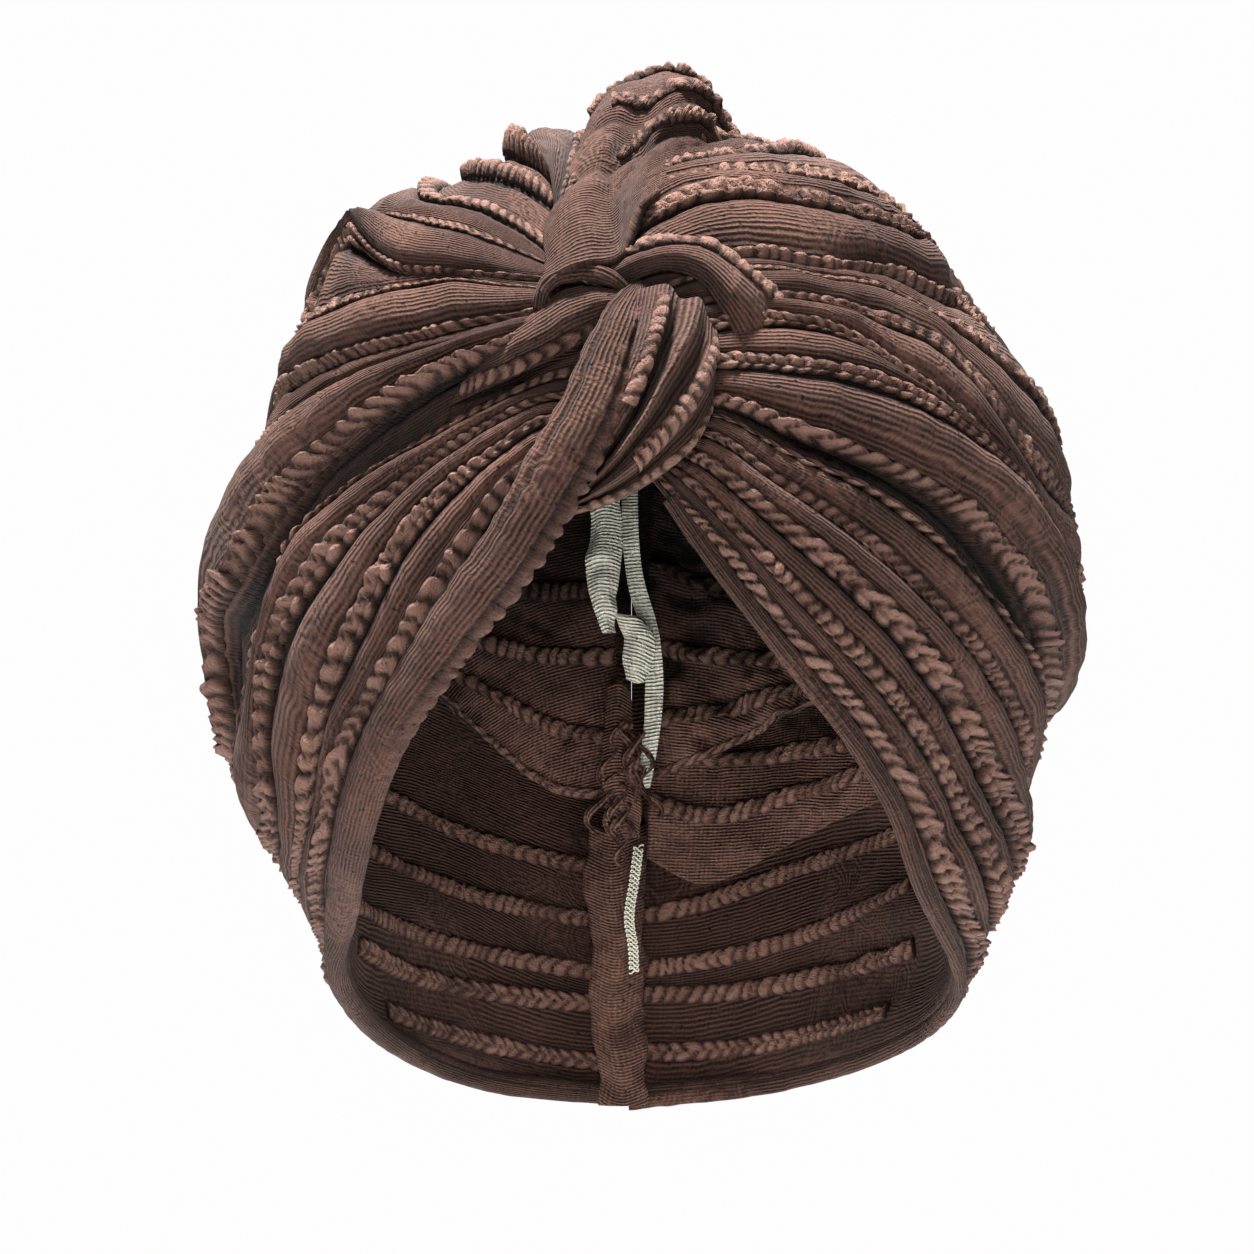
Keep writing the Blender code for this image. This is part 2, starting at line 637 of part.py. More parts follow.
def keep_largest(mesh):
    shape = bmesh.new()
    shape.from_mesh(mesh)
    bmesh.ops.dissolve_limit(shape, angle_limit=FLAT_ENOUGH, verts=shape.verts, edges=shape.edges)
    bmesh.ops.triangulate(shape, faces=shape.faces)
    bodies, left = [], set(shape.faces)
    while left:
        body, front = [], [left.pop()]
        while front:
            face = front.pop()
            body.append(face)
            for edge in face.edges:
                if len(edge.link_faces) != 2:
                    continue
                for other in edge.link_faces:
                    if other in left:
                        left.remove(other)
                        front.append(other)
        bodies.append(body)
    bodies.sort(key=len)
    loose = [face for body in bodies[:-1] for face in body]
    bmesh.ops.delete(shape, geom=loose, context="FACES")
    shape.to_mesh(mesh)
    shape.free()


def cutter(obj):
    obj.hide_render = True
    obj.display_type = "WIRE"
    obj.name = obj.name + "_cutter"
    return obj


def hem_rope(side, front, back, wide, thick, lift, count, swell=0.0):
    """Path and spread of a rolled edge; sizes are (share of its length, value) pairs."""
    places = [seen(x, z) for x, z in front] + beyond(side, back)
    path = through(seated(np.array(places)), count)
    run = np.linspace(0, 1, count)
    normal = outward(path)
    way = np.gradient(path, axis=0)
    sideways = np.cross(way, normal)
    sideways /= np.linalg.norm(sideways, axis=1, keepdims=True)
    read = [np.interp(run, *np.array(pairs, float).T) for pairs in (wide, thick, lift)]
    path = path + normal * read[2][:, None]
    path[-1, 0] = side * max(abs(path[-1, 0]), SEAM_GAP)
    return path, sideways * (read[0] + swell)[:, None], normal * (read[1] + swell)[:, None]


def front_patch(rows, base, count_along, count_across, thick, swell=0.0):
    """A pleated body in front of the wrap: rows of front-view places with a height each."""
    lines = []
    for *places, height in rows:
        ends = [at_depth(x, z, base(x, z)) for x, z in places]
        lines.append(np.column_stack([through(ends, count_along), np.full(count_along, height)]))
    keys = np.arange(len(rows), dtype=float)
    grid = smooth_rows(keys, np.array(lines), np.linspace(0, keys[-1], count_across))
    run = np.linspace(0, 1, count_along)
    ends_in = np.sin(np.pi * (0.12 + 0.76 * run)) ** 0.8
    lift = grid[..., 3] * ends_in[None, :]
    ahead = np.array([0.0, -1.0, 0.0])
    surface = kept_clear(grid[..., :3], -swell)
    outer = surface + ahead * (lift + swell)[..., None]
    inner = surface - ahead * (thick + swell)
    return outer, inner


def folded_sheet(rows, count_along, count_across, thick, ripple=0.0, waves=5, on_wall=False, swell=0.0):
    """A thin wall through rows of places; on_wall moves its first row on to the wrap's surface."""
    rows = np.array(rows, float)
    if on_wall:
        rows[0] = seated(rows[0])
    lines = np.array([through(row, count_along) for row in rows])
    keys = np.arange(len(rows), dtype=float)
    grid = smooth_rows(keys, lines, np.linspace(0, keys[-1], count_across))
    normal = np.cross(np.gradient(grid, axis=1), np.gradient(grid, axis=0))
    normal /= np.linalg.norm(normal, axis=-1, keepdims=True)
    across = np.linspace(0, 1, count_across)[:, None]
    grid = grid + normal * (ripple * np.sin(2 * np.pi * waves * across))[..., None]
    grid = kept_clear(grid, -swell)
    return grid + normal * (thick / 2 + swell), grid - normal * (thick / 2 + swell)


def head_space():
    """The room inside the wrap, up to the middle of its wall."""
    turns = np.linspace(0, 2 * np.pi, HEAD_TURNS + 1)[:-1]
    rises = np.linspace(HEAD_LOWEST, np.pi / 2 - 0.02, HEAD_RISES)
    ring = np.stack([np.cos(turns), np.sin(turns)], axis=-1)
    rays = [np.column_stack([ring * np.cos(rise), np.full(len(ring), np.sin(rise))]) for rise in rises]
    grid = seated(HEAD_CENTRE + np.array(rays) * np.linalg.norm(HEAD_CENTRE))
    grid = grid - outward(grid) * WALL / 2
    points = np.concatenate([grid.reshape(-1, 3), grid[[0, -1]].mean(axis=1)]) * MM
    count = len(turns)
    low, high = len(rises) * count, len(rises) * count + 1
    faces = []
    for j in range(count):
        k = (j + 1) % count
        for i in range(len(rises) - 1):
            faces.append((i * count + j, i * count + k, (i + 1) * count + k, (i + 1) * count + j))
        faces.append((low, k, j))
        faces.append((high, (len(rises) - 1) * count + j, (len(rises) - 1) * count + k))
    return cutter(made("head_space", points, faces, "turban_cloth"))


def knot_base(x, z):
    """Depth of the wrap's surface behind the knot."""
    bulge = KNOT_BULGE * np.exp(-((z - KNOT_HEIGHT) / KNOT_SPREAD) ** 2)
    return KNOT_DEPTH - bulge + KNOT_CURVE * x * x


def build():
    left = solid("left_wing", *wing(-1, LEFT_CROWN, LEFT_FOLDS), "turban_cloth")
    right = solid("right_wing", *wing(1, RIGHT_CROWN, RIGHT_FOLDS), "turban_cloth")
    swollen_left = wing(-1, LEFT_CROWN, LEFT_FOLDS, CUT_GAP)
    swollen_right = wing(1, RIGHT_CROWN, RIGHT_FOLDS, CUT_GAP)
    wings = [
        cutter(solid("left_wing_swollen", *swollen_left, "turban_cloth")),
        cutter(solid("right_wing_swollen", *swollen_right, "turban_cloth")),
        left,
        right,
    ]

    left_roll = dict(
        side=-1,
        front=LEFT_HEM,
        back=LEFT_HEM_BACK,
        wide=LEFT_ROLL_WIDE,
        thick=LEFT_ROLL_THICK,
        lift=LEFT_ROLL_LIFT,
        count=LEFT_ROLL_PLACES,
    )
    strand = tube("left_hem_roll", *hem_rope(**left_roll), "turban_cloth")
    strand_cutter = cutter(tube("left_hem_swollen", *hem_rope(**left_roll, swell=CUT_GAP), "turban_cloth"))
    carve(strand, wings)

    edge_rope = hem_rope(
        side=1,
        front=RIGHT_HEM,
        back=RIGHT_HEM_BACK,
        wide=RIGHT_EDGE_WIDE,
        thick=RIGHT_EDGE_THICK,
        lift=RIGHT_EDGE_LIFT,
        count=RIGHT_EDGE_PLACES,
    )
    edge = tube("right_hem", *edge_rope, "turban_cloth", sides=RIGHT_EDGE_SIDES)
    carve(edge, wings + [strand_cutter])

    fan = solid("knot_fan", *front_patch(FAN_FOLDS, knot_base, *FAN_GRID, FAN_THICK), "turban_cloth")
    swollen_fan = front_patch(FAN_FOLDS, knot_base, *FAN_GRID, FAN_THICK, CUT_GAP)
    fan_cutter = cutter(solid("knot_fan_swollen", *swollen_fan, "turban_cloth"))
    carve(fan, [*wings, strand_cutter])

    loop_grids = front_patch(OVER_LOOP, loop_base, *LOOP_GRID, LOOP_THICK)
    loop = solid("knot_over_loop", *loop_grids, "turban_cloth")
    swollen_loop = front_patch(OVER_LOOP, loop_base, *LOOP_GRID, LOOP_THICK, CUT_GAP)
    loop_cutter = cutter(solid("knot_over_loop_swollen", *swollen_loop, "turban_cloth"))
    carve(loop, [*wings, strand_cutter, fan_cutter])

    places = np.array([at_depth(x, z, loop_base(x, z) - COLLAR_AHEAD) for x, z in COLLAR])
    path = through(places, COLLAR_PLACES)
    ahead = np.tile([0.0, -COLLAR_DEEP, 0.0], (COLLAR_PLACES, 1))
    sideways = np.cross(np.gradient(path, axis=0), ahead)
    sideways *= COLLAR_WIDE / np.linalg.norm(sideways, axis=1, keepdims=True)
    collar = tube("knot_collar", path, sideways, ahead, "turban_cloth", sides=COLLAR_SIDES)
    carve(collar, [*wings, strand_cutter, fan_cutter, loop_cutter])

    peak = solid("crown_peak", *folded_sheet(PEAK_RIBS, *PEAK_GRID, WALL), "turban_cloth")
    carve(peak, [*wings, loop_cutter, strand_cutter, head_space()])

    build_inside(wings)


def loop_base(x, z):
    """Depth of the wrap's surface behind the upper part of the knot."""
    return seen(x, z)[1] - LOOP_AHEAD


def build_inside(wings):
    """The sheets inside, each cut clear of the wall and of those before it."""
    cutters = list(wings)
    for name, rows, *shape, slot in INNER_SHEETS:
        sheet = solid(name, *folded_sheet(rows, *shape), slot)
        swollen = folded_sheet(rows, *shape, swell=CUT_GAP)
        carve(sheet, cutters)
        cutters.append(cutter(solid(name + "_swollen", *swollen, slot)))


for obj in list(bpy.data.objects):
    bpy.data.objects.remove(obj, do_unlink=True)
MATERIALS = {name: material(name) for name in COLOURS}
build()
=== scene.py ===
"""The looks of a pre-tied knit turban with a twist knot at the front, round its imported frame.

Each cloth piece repeats the fold tables of the frame at a finer step and adds its puckered rows,
creases and weave. Lengths are millimetres until a mesh is made. The front looks along -Y.
"""

import math

import bmesh
import bpy
import numpy as np
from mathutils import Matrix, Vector


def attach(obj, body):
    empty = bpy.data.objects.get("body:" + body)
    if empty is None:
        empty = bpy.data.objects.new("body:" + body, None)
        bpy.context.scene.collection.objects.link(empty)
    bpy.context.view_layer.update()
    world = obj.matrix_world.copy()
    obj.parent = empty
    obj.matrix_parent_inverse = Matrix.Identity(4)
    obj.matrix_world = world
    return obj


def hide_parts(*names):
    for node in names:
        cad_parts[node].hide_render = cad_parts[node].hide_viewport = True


# The studio, in metres and watts. Lights: name, place, target, size and share of KEY_POWER.
KEY_POWER = 16.0
ROOM_LIGHT = 0.05
CAMERA_ASIDE = -0.00114
CAMERA_LENS = 126
CAMERA_SENSOR = 36
FLOOR_HEIGHT = -0.42
FLOOR_RADIUS = 0.9
FLOOR_SIDES = 48
HAT_MIDDLE = (0, 0, -0.1)
LIGHTS = (
    ("front", (-0.03, -1.1, 0.36), HAT_MIDDLE, 0.18, 0.38),
    ("top", (-0.2, -0.24, 1.1), HAT_MIDDLE, 0.26, 5.2),
    ("low_front", (0.0, -1.0, -0.3), (0, 0.08, -0.14), 0.12, 0.08),
    ("left_fill", (-1.1, -0.4, 0.3), HAT_MIDDLE, 0.5, 0.06),
    ("right_fill", (1.1, -0.4, 0.3), HAT_MIDDLE, 0.5, 0.12),
    ("back", (0.1, 1.0, 0.6), HAT_MIDDLE, 0.8, 0.9),
)

# Cloth coordinates per millimetre, and the gap between the wings at the seam.
UV_PER_MM = 0.01
SEAM_GAP = 0.05

# Heights between which painted shade darkens the cloth inside, and from which share to which.
DIM_HEIGHTS = (-128, -84)
DIM_SHARES = (1.0, 8.6)

# The step at the wrap's sides is rounded off in this many rounds, within this reach.
EASE_ROUNDS = 70
EASE_REACH = 24

# How finely the wings and their puckered rows are made.
WING_COLUMNS = 272
STRIP_COLUMNS = 510
RUFFLE_ROWS = 2
BODY_ROWS = 8
INNER_STEP = 3
INNER_WALL = 1.5

# Along a wing, from the knot to the seam: how much of a crease's depth is kept.
CREASE_SHARES = (0.0, 0.06, 0.16, 0.45, 0.7, 1.0)
CREASE_KEPT = (0.3, 0.8, 1.0, 0.8, 0.4, 0.2)

# Overlock thread on the seam's flap.
OVERLOCK = ((1.8, 92, -151), (0.6, 91, -160), (-0.6, 90, -169), (0.4, 88.5, -176), (0.6, 87.5, -182))

MM = 0.001
WALL = 2.4
FOLD_GAIN = 1.6
SECTION_POWER = 2.2
HEAD_CENTRE = np.array([0.0, 0.0, -90.0])

# Along a fold line, from the knot to the seam at the back: where its roll's height is read, and
# where and how much of its crest's height is kept.
ROLL_SHARES = (0.0, 0.09, 0.25, 0.55, 1.0)
CREST_SHARES = (0.0, 0.09, 0.5, 1.0)
CREST_KEPT = (0.1, 0.8, 1.0, 0.35)

# The fold tables are read in a front view: places are given at the depth of the origin, as seen
# by an eye this far in front of it and at this height.
EYE_DISTANCE = 1000.0
EYE_HEIGHT = -96.5
SEEN_ROUNDS = 60
SEATED_ROUNDS = 26

# Level sections of the wrap under its rolls: height, left and right half widths, front and back depths.
SECTIONS = np.array(
    [
        (-216, 54, 56, 40, 92),
        (-200, 61, 65, 50, 97),
        (-180, 66, 74, 60, 103),
        (-165, 66, 76, 67, 106),
        (-150, 74, 83, 79, 108),
        (-130, 86, 85, 89, 110),
        (-110, 88, 91, 95, 111),
        (-90, 89, 95, 99, 110),
        (-65, 81, 93, 100, 107),
        (-45, 74, 88, 97, 100),
        (-25, 68, 71, 91, 88),
        (-12, 62, 61, 80, 76),
        (-5, 52, 54, 71, 64),
        (0, 41, 48, 60, 52),
        (3, 33, 41, 50, 42),
        (6, 22, 31, 38, 30),
        (9, 6, 12, 16, 12),
    ],
    float,
)

# The shares of a section's half width at the side, the back quarter and the seam.
BEYOND_SHARES = (1.0, 0.62, 0.0)

# The seam line between the wings: from the knot in the front view, then over the crown in plan.
MID_FRONT = ((-17.5, -13.5), (-16.5, -7.5), (-14, 0.5))
MID_TOP = ((-9, -25), (-4, 5), (0, 35), (0, 66))
MID_TOP_HEIGHT = 9.0
CROWN_PATH_HEIGHT = 6.0

# Crown folds, in plan (x, y) from the knot to the seam at the back:
# name, path, crest height, roll height at the front, side and back of the band below it.
LEFT_CROWN = (
    ("seam", None, 3.0, 1.0, 2.0, 0.5),
    (
        "tall_gather", ((-17, -84), (-22, -55), (-25, -15), (-24, 12), (-16, 45), (0, 75)), 5.0, -1.5, -3.0,
        0.5,
    ),
    (
        "low_gather", ((-18, -87), (-29, -58), (-37, -20), (-37, 12), (-27, 52), (0, 84)), 3.0, -1.0, -2.0,
        0.5,
    ),
)
RIGHT_CROWN = (
    ("seam", None, 3.0, 1.0, 2.0, 0.5),
    ("crown_roll", ((-12, -80), (10, -48), (26, -14), (27, 18), (18, 50), (0, 75)), 3.0, 1.0, 1.0, 0.5),
)

# Wing folds, top to bottom. Each row is one ruffle line: its places in the front view from the
# knot outwards, its height at the side, back quarter and back seam, then the roll under it: crest
# height and roll height at the front, side and back.
LEFT_FOLDS = (
    ("shoulder", ((-18, -11), (-30, -4.5), (-43.5, -2)), 0, -12, -38, 2.0, 1.5, 2.5, 0.8),
    ("first", ((-17.5, -14.8), (-30, -10.5), (-41.5, -8), (-53, -6.5)), -11, -32, -58, 2.5, 4.0, 3.0, 0.8),
    (
        "second", ((-15, -18), (-30, -17.5), (-47, -17), (-65.5, -15.5), (-74, -23)), -31, -55, -78, 1.0,
        1.0, 1.0, 0.8,
    ),
    (
        "third", ((-11, -21), (-26, -19.5), (-41.5, -19), (-54, -21), (-66.5, -26), (-74.5, -36)), -52, -77,
        -98, 2.0, 3.5, 2.0, 0.8,
    ),
    (
        "fourth",
        ((-7, -23.5), (-18, -24.5), (-30, -27), (-43.5, -30.5), (-58.5, -34.5), (-70, -40), (-78, -51)),
        -67, -95, -117, 2.0, 1.5, 1.5, 0.8,
    ),
    (
        "fifth",
        ((-4, -26), (-20, -27.5), (-39, -33.5), (-53, -38), (-65.5, -44.5), (-75.5, -53), (-84, -66)), -87,
        -115, -135, 2.5, 4.5, 3.5, 0.8,
    ),
    (
        "sixth",
        (
            (-4, -28.5), (-18, -29), (-35.5, -35.5), (-51.5, -45), (-65.5, -56.5), (-75.5, -68), (-85, -83),
            (-91, -101),
        ),
        -114, -133, -152, 3.0, -2.5, -2.5, 0.8,
    ),
    (
        "eighth",
        (
            (-9, -38), (-18, -39.5), (-30, -45), (-41.5, -51.5), (-64, -65.5), (-73.5, -75.5), (-79, -88),
            (-85, -108),
        ),
        -131, -150, -169, 0.5, 3.5, 2.5, 0.8,
    ),
    (
        "ninth",
        (
            (-12, -43.5), (-20, -44.5), (-30, -49.5), (-41.5, -57.5), (-53, -66.5), (-65.5, -79),
            (-75.5, -94), (-80, -113), (-79, -131),
        ),
        -148, -165, -182, 1.0, 3.0, 2.0, 0.8,
    ),
    (
        "inner",
        (
            (-14, -48.5), (-22, -50), (-30, -56), (-41.5, -66), (-50.5, -77), (-58, -91), (-66, -109),
            (-70, -131),
        ),
        -158, -177, -191, 1.5, 3.0, 2.0, 0.8,
    ),
    (
        "tenth",
        ((-16.5, -54), (-29, -65.5), (-35.5, -76), (-45, -90.5), (-53, -105), (-62, -121), (-67, -138)),
        -169, -197, -204, 1.5, 1.0, 1.0, 0.3,
    ),
    (
        "under_hem",
        ((-18, -61), (-28, -71.5), (-35.5, -81.5), (-45, -96), (-53, -109), (-60.5, -124), (-65, -140)),
        -175.5, -205, -211, 0.0, 0, 0, 0,
    ),
)
RIGHT_FOLDS = (
    ("top", ((-10, -11), (6.5, 4), (25, 7), (42, 3)), -6, -18, -30, 2.5, 2.0, 2.0, 0.8),
    ("second", ((-9, -12.5), (4, 0), (21, 3), (35, 2), (50, -1.5)), -16, -26, -40, 2.0, 2.5, 2.0, 0.8),
    (
        "third", ((-7.5, -14), (6, -4), (21, -1), (38, -3.5), (55.5, -8.5), (66, -15)), -28, -36, -50, 2.5,
        3.0, 2.0, 0.8,
    ),
    (
        "fifth", ((0, -16.5), (15.5, -12), (27, -12), (38, -14), (55.5, -16), (66.5, -21), (74, -28)), -44,
        -50, -62, 0.5, 1.0, 1.5, 0.8,
    ),
    (
        "sixth", ((5, -19.5), (24.5, -16), (41.5, -18.5), (55.5, -21.5), (66.5, -28), (78, -36)), -60, -66,
        -77, 2.0, 2.0, 2.0, 0.8,
    ),
    (
        "eighth", ((9, -23.5), (30, -22), (49.5, -26.5), (66.5, -34), (76, -44), (85, -57)), -76, -82, -92,
        2.0, 2.5, 2.0, 0.8,
    ),
    (
        "seventh", ((12, -28.5), (32.5, -27), (49.5, -33), (59, -40), (70, -48), (80, -59), (89, -74)), -90,
        -98, -107, 2.0, 2.5, 2.0, 0.8,
    ),
    (
        "ninth", ((13, -36), (24, -36.5), (35, -38), (49.5, -41), (66.5, -49), (80, -60), (90, -76)), -102,
        -113, -122, 3.0, 4.5, 3.5, 0.8,
    ),
    (
        "tenth", ((13, -43), (24, -45.5), (35, -49.5), (49.5, -55), (68, -64), (82, -77), (91, -92)), -116,
        -127, -137, 1.0, -4.0, -3.0, 0.8,
    ),
    (
        "eleventh", ((12, -46.5), (22, -49), (36, -57), (52, -64), (69, -77), (81, -91), (89.5, -106)),
        -128, -140, -152, 1.5, 3.0, 2.0, 0.8,
    ),
    (
        "twelfth",
        ((10, -50), (20, -53.5), (31.5, -62), (49.5, -74.5), (65.5, -89), (77, -103), (84.5, -118)), -141,
        -156, -168, 1.0, 4.5, 3.0, 0.8,
    ),
    (
        "thirteenth", ((8, -55), (17, -59), (29, -69), (47, -84), (57.5, -94), (67, -106.5), (75, -122)),
        -152, -170, -181, 0.5, 2.0, 1.5, 0.8,
    ),
    (
        "fourteenth",
        (
            (7, -58.5), (14, -64), (22.5, -72.5), (32.5, -83), (44, -95), (55.5, -108), (66.5, -124),
            (73, -139),
        ),
        -162, -180, -190, 2.0, 2.0, 1.5, 0.8,
    ),
    (
        "fifteenth",
        (
            (5, -61), (11, -68), (19.5, -77), (31, -92), (42.5, -105.5), (52.5, -118.5), (62.5, -135),
            (68.5, -150),
        ),
        -173, -197, -204, 1.0, 0.5, 0.5, 0.3,
    ),
    (
        "under_hem",
        (
            (4, -62.5), (10, -70), (17, -79), (28.5, -93), (39.5, -107), (50.5, -120.5), (60, -136),
            (65.5, -151),
        ),
        -179.5, -206, -211.5, 0.0, 0, 0, 0,
    ),
)
LEFT_HEM = (
    (2, -18), (-2.5, -29), (-8.5, -45), (-16.5, -61), (-25.5, -76),
    (-35.5, -90.5), (-47, -108), (-56, -124.5), (-62, -140.5), (-65, -156.5),
)
RIGHT_HEM = ((8.5, -67), (16.5, -78.5), (27.5, -93), (38.5, -107), (49.5, -121), (59, -136.5), (64, -150))
# Heights of the hem beyond the front view: side, back quarter, back seam.
LEFT_HEM_BACK = (-178, -208, -213.5)
RIGHT_HEM_BACK = (-181, -208, -214)

# Knot fan, one row per fold: places in the front view, then how far it stands out.
FAN_FOLDS = (
    ((1, -19.5), (-1, -29), (-5.5, -40.5), (-12, -51.5), (-19, -61), (-21, -67.5), 3.0),
    ((8, -18), (6, -28), (2.5, -39), (-3, -50.5), (-11, -61.5), (-18.5, -69), 8.0),
    ((11, -21.5), (8.5, -30), (4.5, -40), (-1.5, -52), (-9.5, -62), (-18.2, -69.5), 3.5),
    ((15.5, -21), (13, -30), (8, -39.5), (1, -51.5), (-7.5, -62), (-18, -70), 9.5),
    ((17, -25), (16, -32), (11, -41), (3.5, -52), (-6, -62.5), (-17.8, -70.4), 5.5),
    ((19, -29), (18, -36), (13.5, -44.5), (6, -54), (-4.5, -63.5), (-17.6, -70.8), 9.0),
    ((19.3, -34), (18.3, -41), (14.5, -48.5), (7.5, -56.5), (-3, -64.7), (-17.4, -71.2), 5.5),
    ((19, -40), (17.5, -47), (14, -54), (7.5, -60), (-2.5, -66.2), (-17.2, -71.6), 6.5),
    ((18, -43.5), (16.5, -50.5), (12.5, -57), (5.5, -62.8), (-3.5, -67.8), (-17, -72), 1.0),
)
OVER_LOOP = (
    (
        (-10, -17.5), (-5, -13.5), (2, -10.5), (10, -8.5), (16.5, -9), (25, -14), (33, -19.5), (38, -25),
        2.5,
    ),
    (
        (-9.5, -18.5), (-4.5, -15), (2, -12), (10, -10.5), (16.5, -11.5), (24.5, -17.5), (31.5, -24),
        (36, -29.5), 7.0,
    ),
    (
        (-8.5, -19.5), (-3.5, -16.5), (2.5, -14), (9.5, -12.8), (16, -14.5), (23, -21.5), (28.5, -28),
        (32, -33.5), 6.5,
    ),
    (
        (-7, -20.5), (-2.5, -18.5), (3, -16.5), (9, -15.5), (14.5, -17.5), (20.5, -25), (24, -32),
        (26, -37.5), 1.0,
    ),
)
COLLAR = ((-21.5, -24), (-20, -19), (-16.5, -16.5), (-10.5, -15.5), (-5, -17), (-1, -20))

# The peak: a fold of cloth that rises from the knot and stands open to the front. One row per
# rib, from its left foot to its right foot, and each place is (x, y, z).
PEAK_RIBS = (
    ((-18, -88, -18), (-16.5, -72, -7), (-13, -45, 2), (-9, -10, 3), (-4, 20, -1)),
    ((-14.5, -91, -15), (-11, -72, 0.5), (-8, -45, 14), (-4.5, -12, 19), (-1, 26, 3)),
    ((-10, -91, -13), (-6.5, -70, 3), (-2, -42, 19), (2.5, -12, 25), (4, 30, 3)),
    ((-4, -86, -12), (-1, -62, 4), (3, -44, 16), (8.5, -12, 27.2), (9, 30, 3)),
    ((4, -64, 4), (7, -54, 11), (10, -40, 19), (13.5, -12, 26), (13, 30, 2.5)),
    ((12, -53, 6), (14.5, -46, 11), (16, -34, 17), (18, -12, 21), (17, 26, 1)),
    ((21, -40, 3), (22, -35, 5), (23, -27, 6), (24, -12, 6), (21, 18, -2)),
)

# Sheets that hang inside: one row per height, places (x, y, z) across. The first row of each of
# these is moved on to the wrap's surface, where the wall cuts it off.
LEFT_INNER_FOLD = (
    ((-70, 40, -80), (-52, 68, -66), (-30, 88, -56), (-4, 95, -50)),
    ((-62, 42, -92), (-46, 66, -88), (-27, 80, -84), (-4, 84, -80)),
    ((-55, 46, -100), (-40, 64, -106), (-23, 74, -110), (-4, 78, -108)),
    ((-51, 49, -108), (-36, 63, -124), (-19, 71, -137), (-5, 76, -139)),
)
RIGHT_UPPER_FOLD = (
    ((5, 97, -54), (24, 90, -60), (48, 74, -70), (72, 42, -80)),
    ((5, 88, -84), (22, 82, -88), (44, 68, -92), (66, 44, -96)),
    ((5, 83, -110), (21, 76, -110), (41, 64, -108), (60, 46, -104)),
    ((6, 80, -134), (22, 73, -127), (40, 62, -117), (56, 48, -109)),
)
RIGHT_LOWER_FOLD = (
    ((5, 102, -106), (24, 97, -108), (46, 83, -106), (70, 58, -104)),
    ((5, 94, -130), (20, 89, -132), (44, 77, -128), (66, 56, -122)),
    ((4, 90, -154), (17, 84, -160), (42, 74, -148), (64, 54, -136)),
)
PALE_TAPE = (
    ((-9.5, 90, -40), (-7, 90, -40), (-3.5, 90, -40)),
    ((-9.5, 82, -62), (-7, 80.5, -62), (-3.5, 82, -62)),
    ((-10.5, 76, -76), (-7, 74, -76), (-2.5, 76, -76)),
    ((-10, 73, -88), (-6.5, 71, -88), (-3.5, 73, -88)),
    ((-7, 71, -98), (-5.5, 70, -98), (-4, 71, -98)),
)
# The seam's flap: its last place in each row lies in the wall.
SEAM_ALLOWANCE = (
    ((-10, 96, -146), (-4, 93.5, -148), (1.5, 97, -146), (2.5, 109, -146)),
    ((-11.5, 95, -160), (-5, 92, -160), (1.5, 95, -160), (2.5, 108, -160)),
    ((-9.5, 92, -176), (-4, 89.5, -176), (1.5, 92.5, -176), (2.5, 104, -176)),
    ((-10.5, 89, -192), (-4, 86, -192), (1.5, 88.5, -192), (2.5, 100, -192)),
    ((-8, 83.5, -207), (-2.5, 81, -207), (1.5, 83, -207), (2.5, 95, -207)),
)

# The knot, in millimetres: its depth, how it bulges, and how far the loop stands ahead of the wrap.
KNOT_DEPTH = -100.0
KNOT_BULGE = 4.0
KNOT_HEIGHT = -42.0
KNOT_SPREAD = 22.0
KNOT_CURVE = 0.012
LOOP_AHEAD = 2.0

# Every fold line carries a ruffle row. For each line: depth of the crease under it and how far the
# fold above laps over that crease, both in millimetres at the front, the kind of ruffle, its size.
LEFT_ROWS = {
    "seam": (2.0, 0.3, "leaf", 0.9),
    "tall_gather": (4.0, 1.2, "leaf", 1.0),
    "low_gather": (2.4, 0.4, "leaf", 1.0),
    "shoulder": (1.4, 0.2, "leaf", 1.1),
    "first": (2.0, 0.4, "leaf", 1.0),
    "second": (2.2, 0.8, "braid", 1.1),
    "third": (4.0, 1.4, "leaf", 1.0),
    "fourth": (3.6, 1.2, "leaf", 0.95),
    "fifth": (3.0, 0.8, "leaf", 1.0),
    "sixth": (6.5, 2.6, "knob", 1.08),
    "eighth": (2.6, 0.6, "leaf", 0.95),
    "ninth": (3.4, 1.0, "knob", 1.0),
    "inner": (4.0, 1.4, "knob", 1.0),
    "tenth": (2.8, 0.4, "leaf", 1.0),
    "under_hem": (1.0, 0.0, "plain", 0.0),
}
RIGHT_ROWS = {
    "seam": (2.0, 0.3, "leaf", 0.9),
    "crown_roll": (3.0, 0.6, "leaf", 1.0),
    "top": (3.0, 0.6, "leaf", 1.05),
    "second": (3.4, 1.0, "leaf", 1.0),
    "third": (3.6, 1.2, "braid", 1.05),
    "fifth": (6.5, 2.8, "leaf", 1.0),
    "sixth": (3.0, 1.0, "leaf", 1.0),
    "eighth": (2.8, 0.8, "leaf", 0.9),
    "seventh": (3.2, 1.0, "braid", 1.1),
    "ninth": (2.8, 0.8, "braid", 1.1),
    "tenth": (6.5, 3.0, "leaf", 1.0),
    "eleventh": (3.8, 1.4, "braid", 1.15),
    "twelfth": (3.8, 1.2, "leaf", 1.0),
    "thirteenth": (2.8, 0.8, "knob", 1.0),
    "fourteenth": (4.2, 1.6, "leaf", 1.1),
    "fifteenth": (2.6, 0.3, "leaf", 1.15),
    "under_hem": (1.0, 0.0, "plain", 0.0),
}

RIB_PITCH = 0.85
PUFF_PITCH = 4.3
RUFFLE_WIDTH = 4.9
PUFF_HEIGHT = 1.9
EDGE_RAISED = 0.45
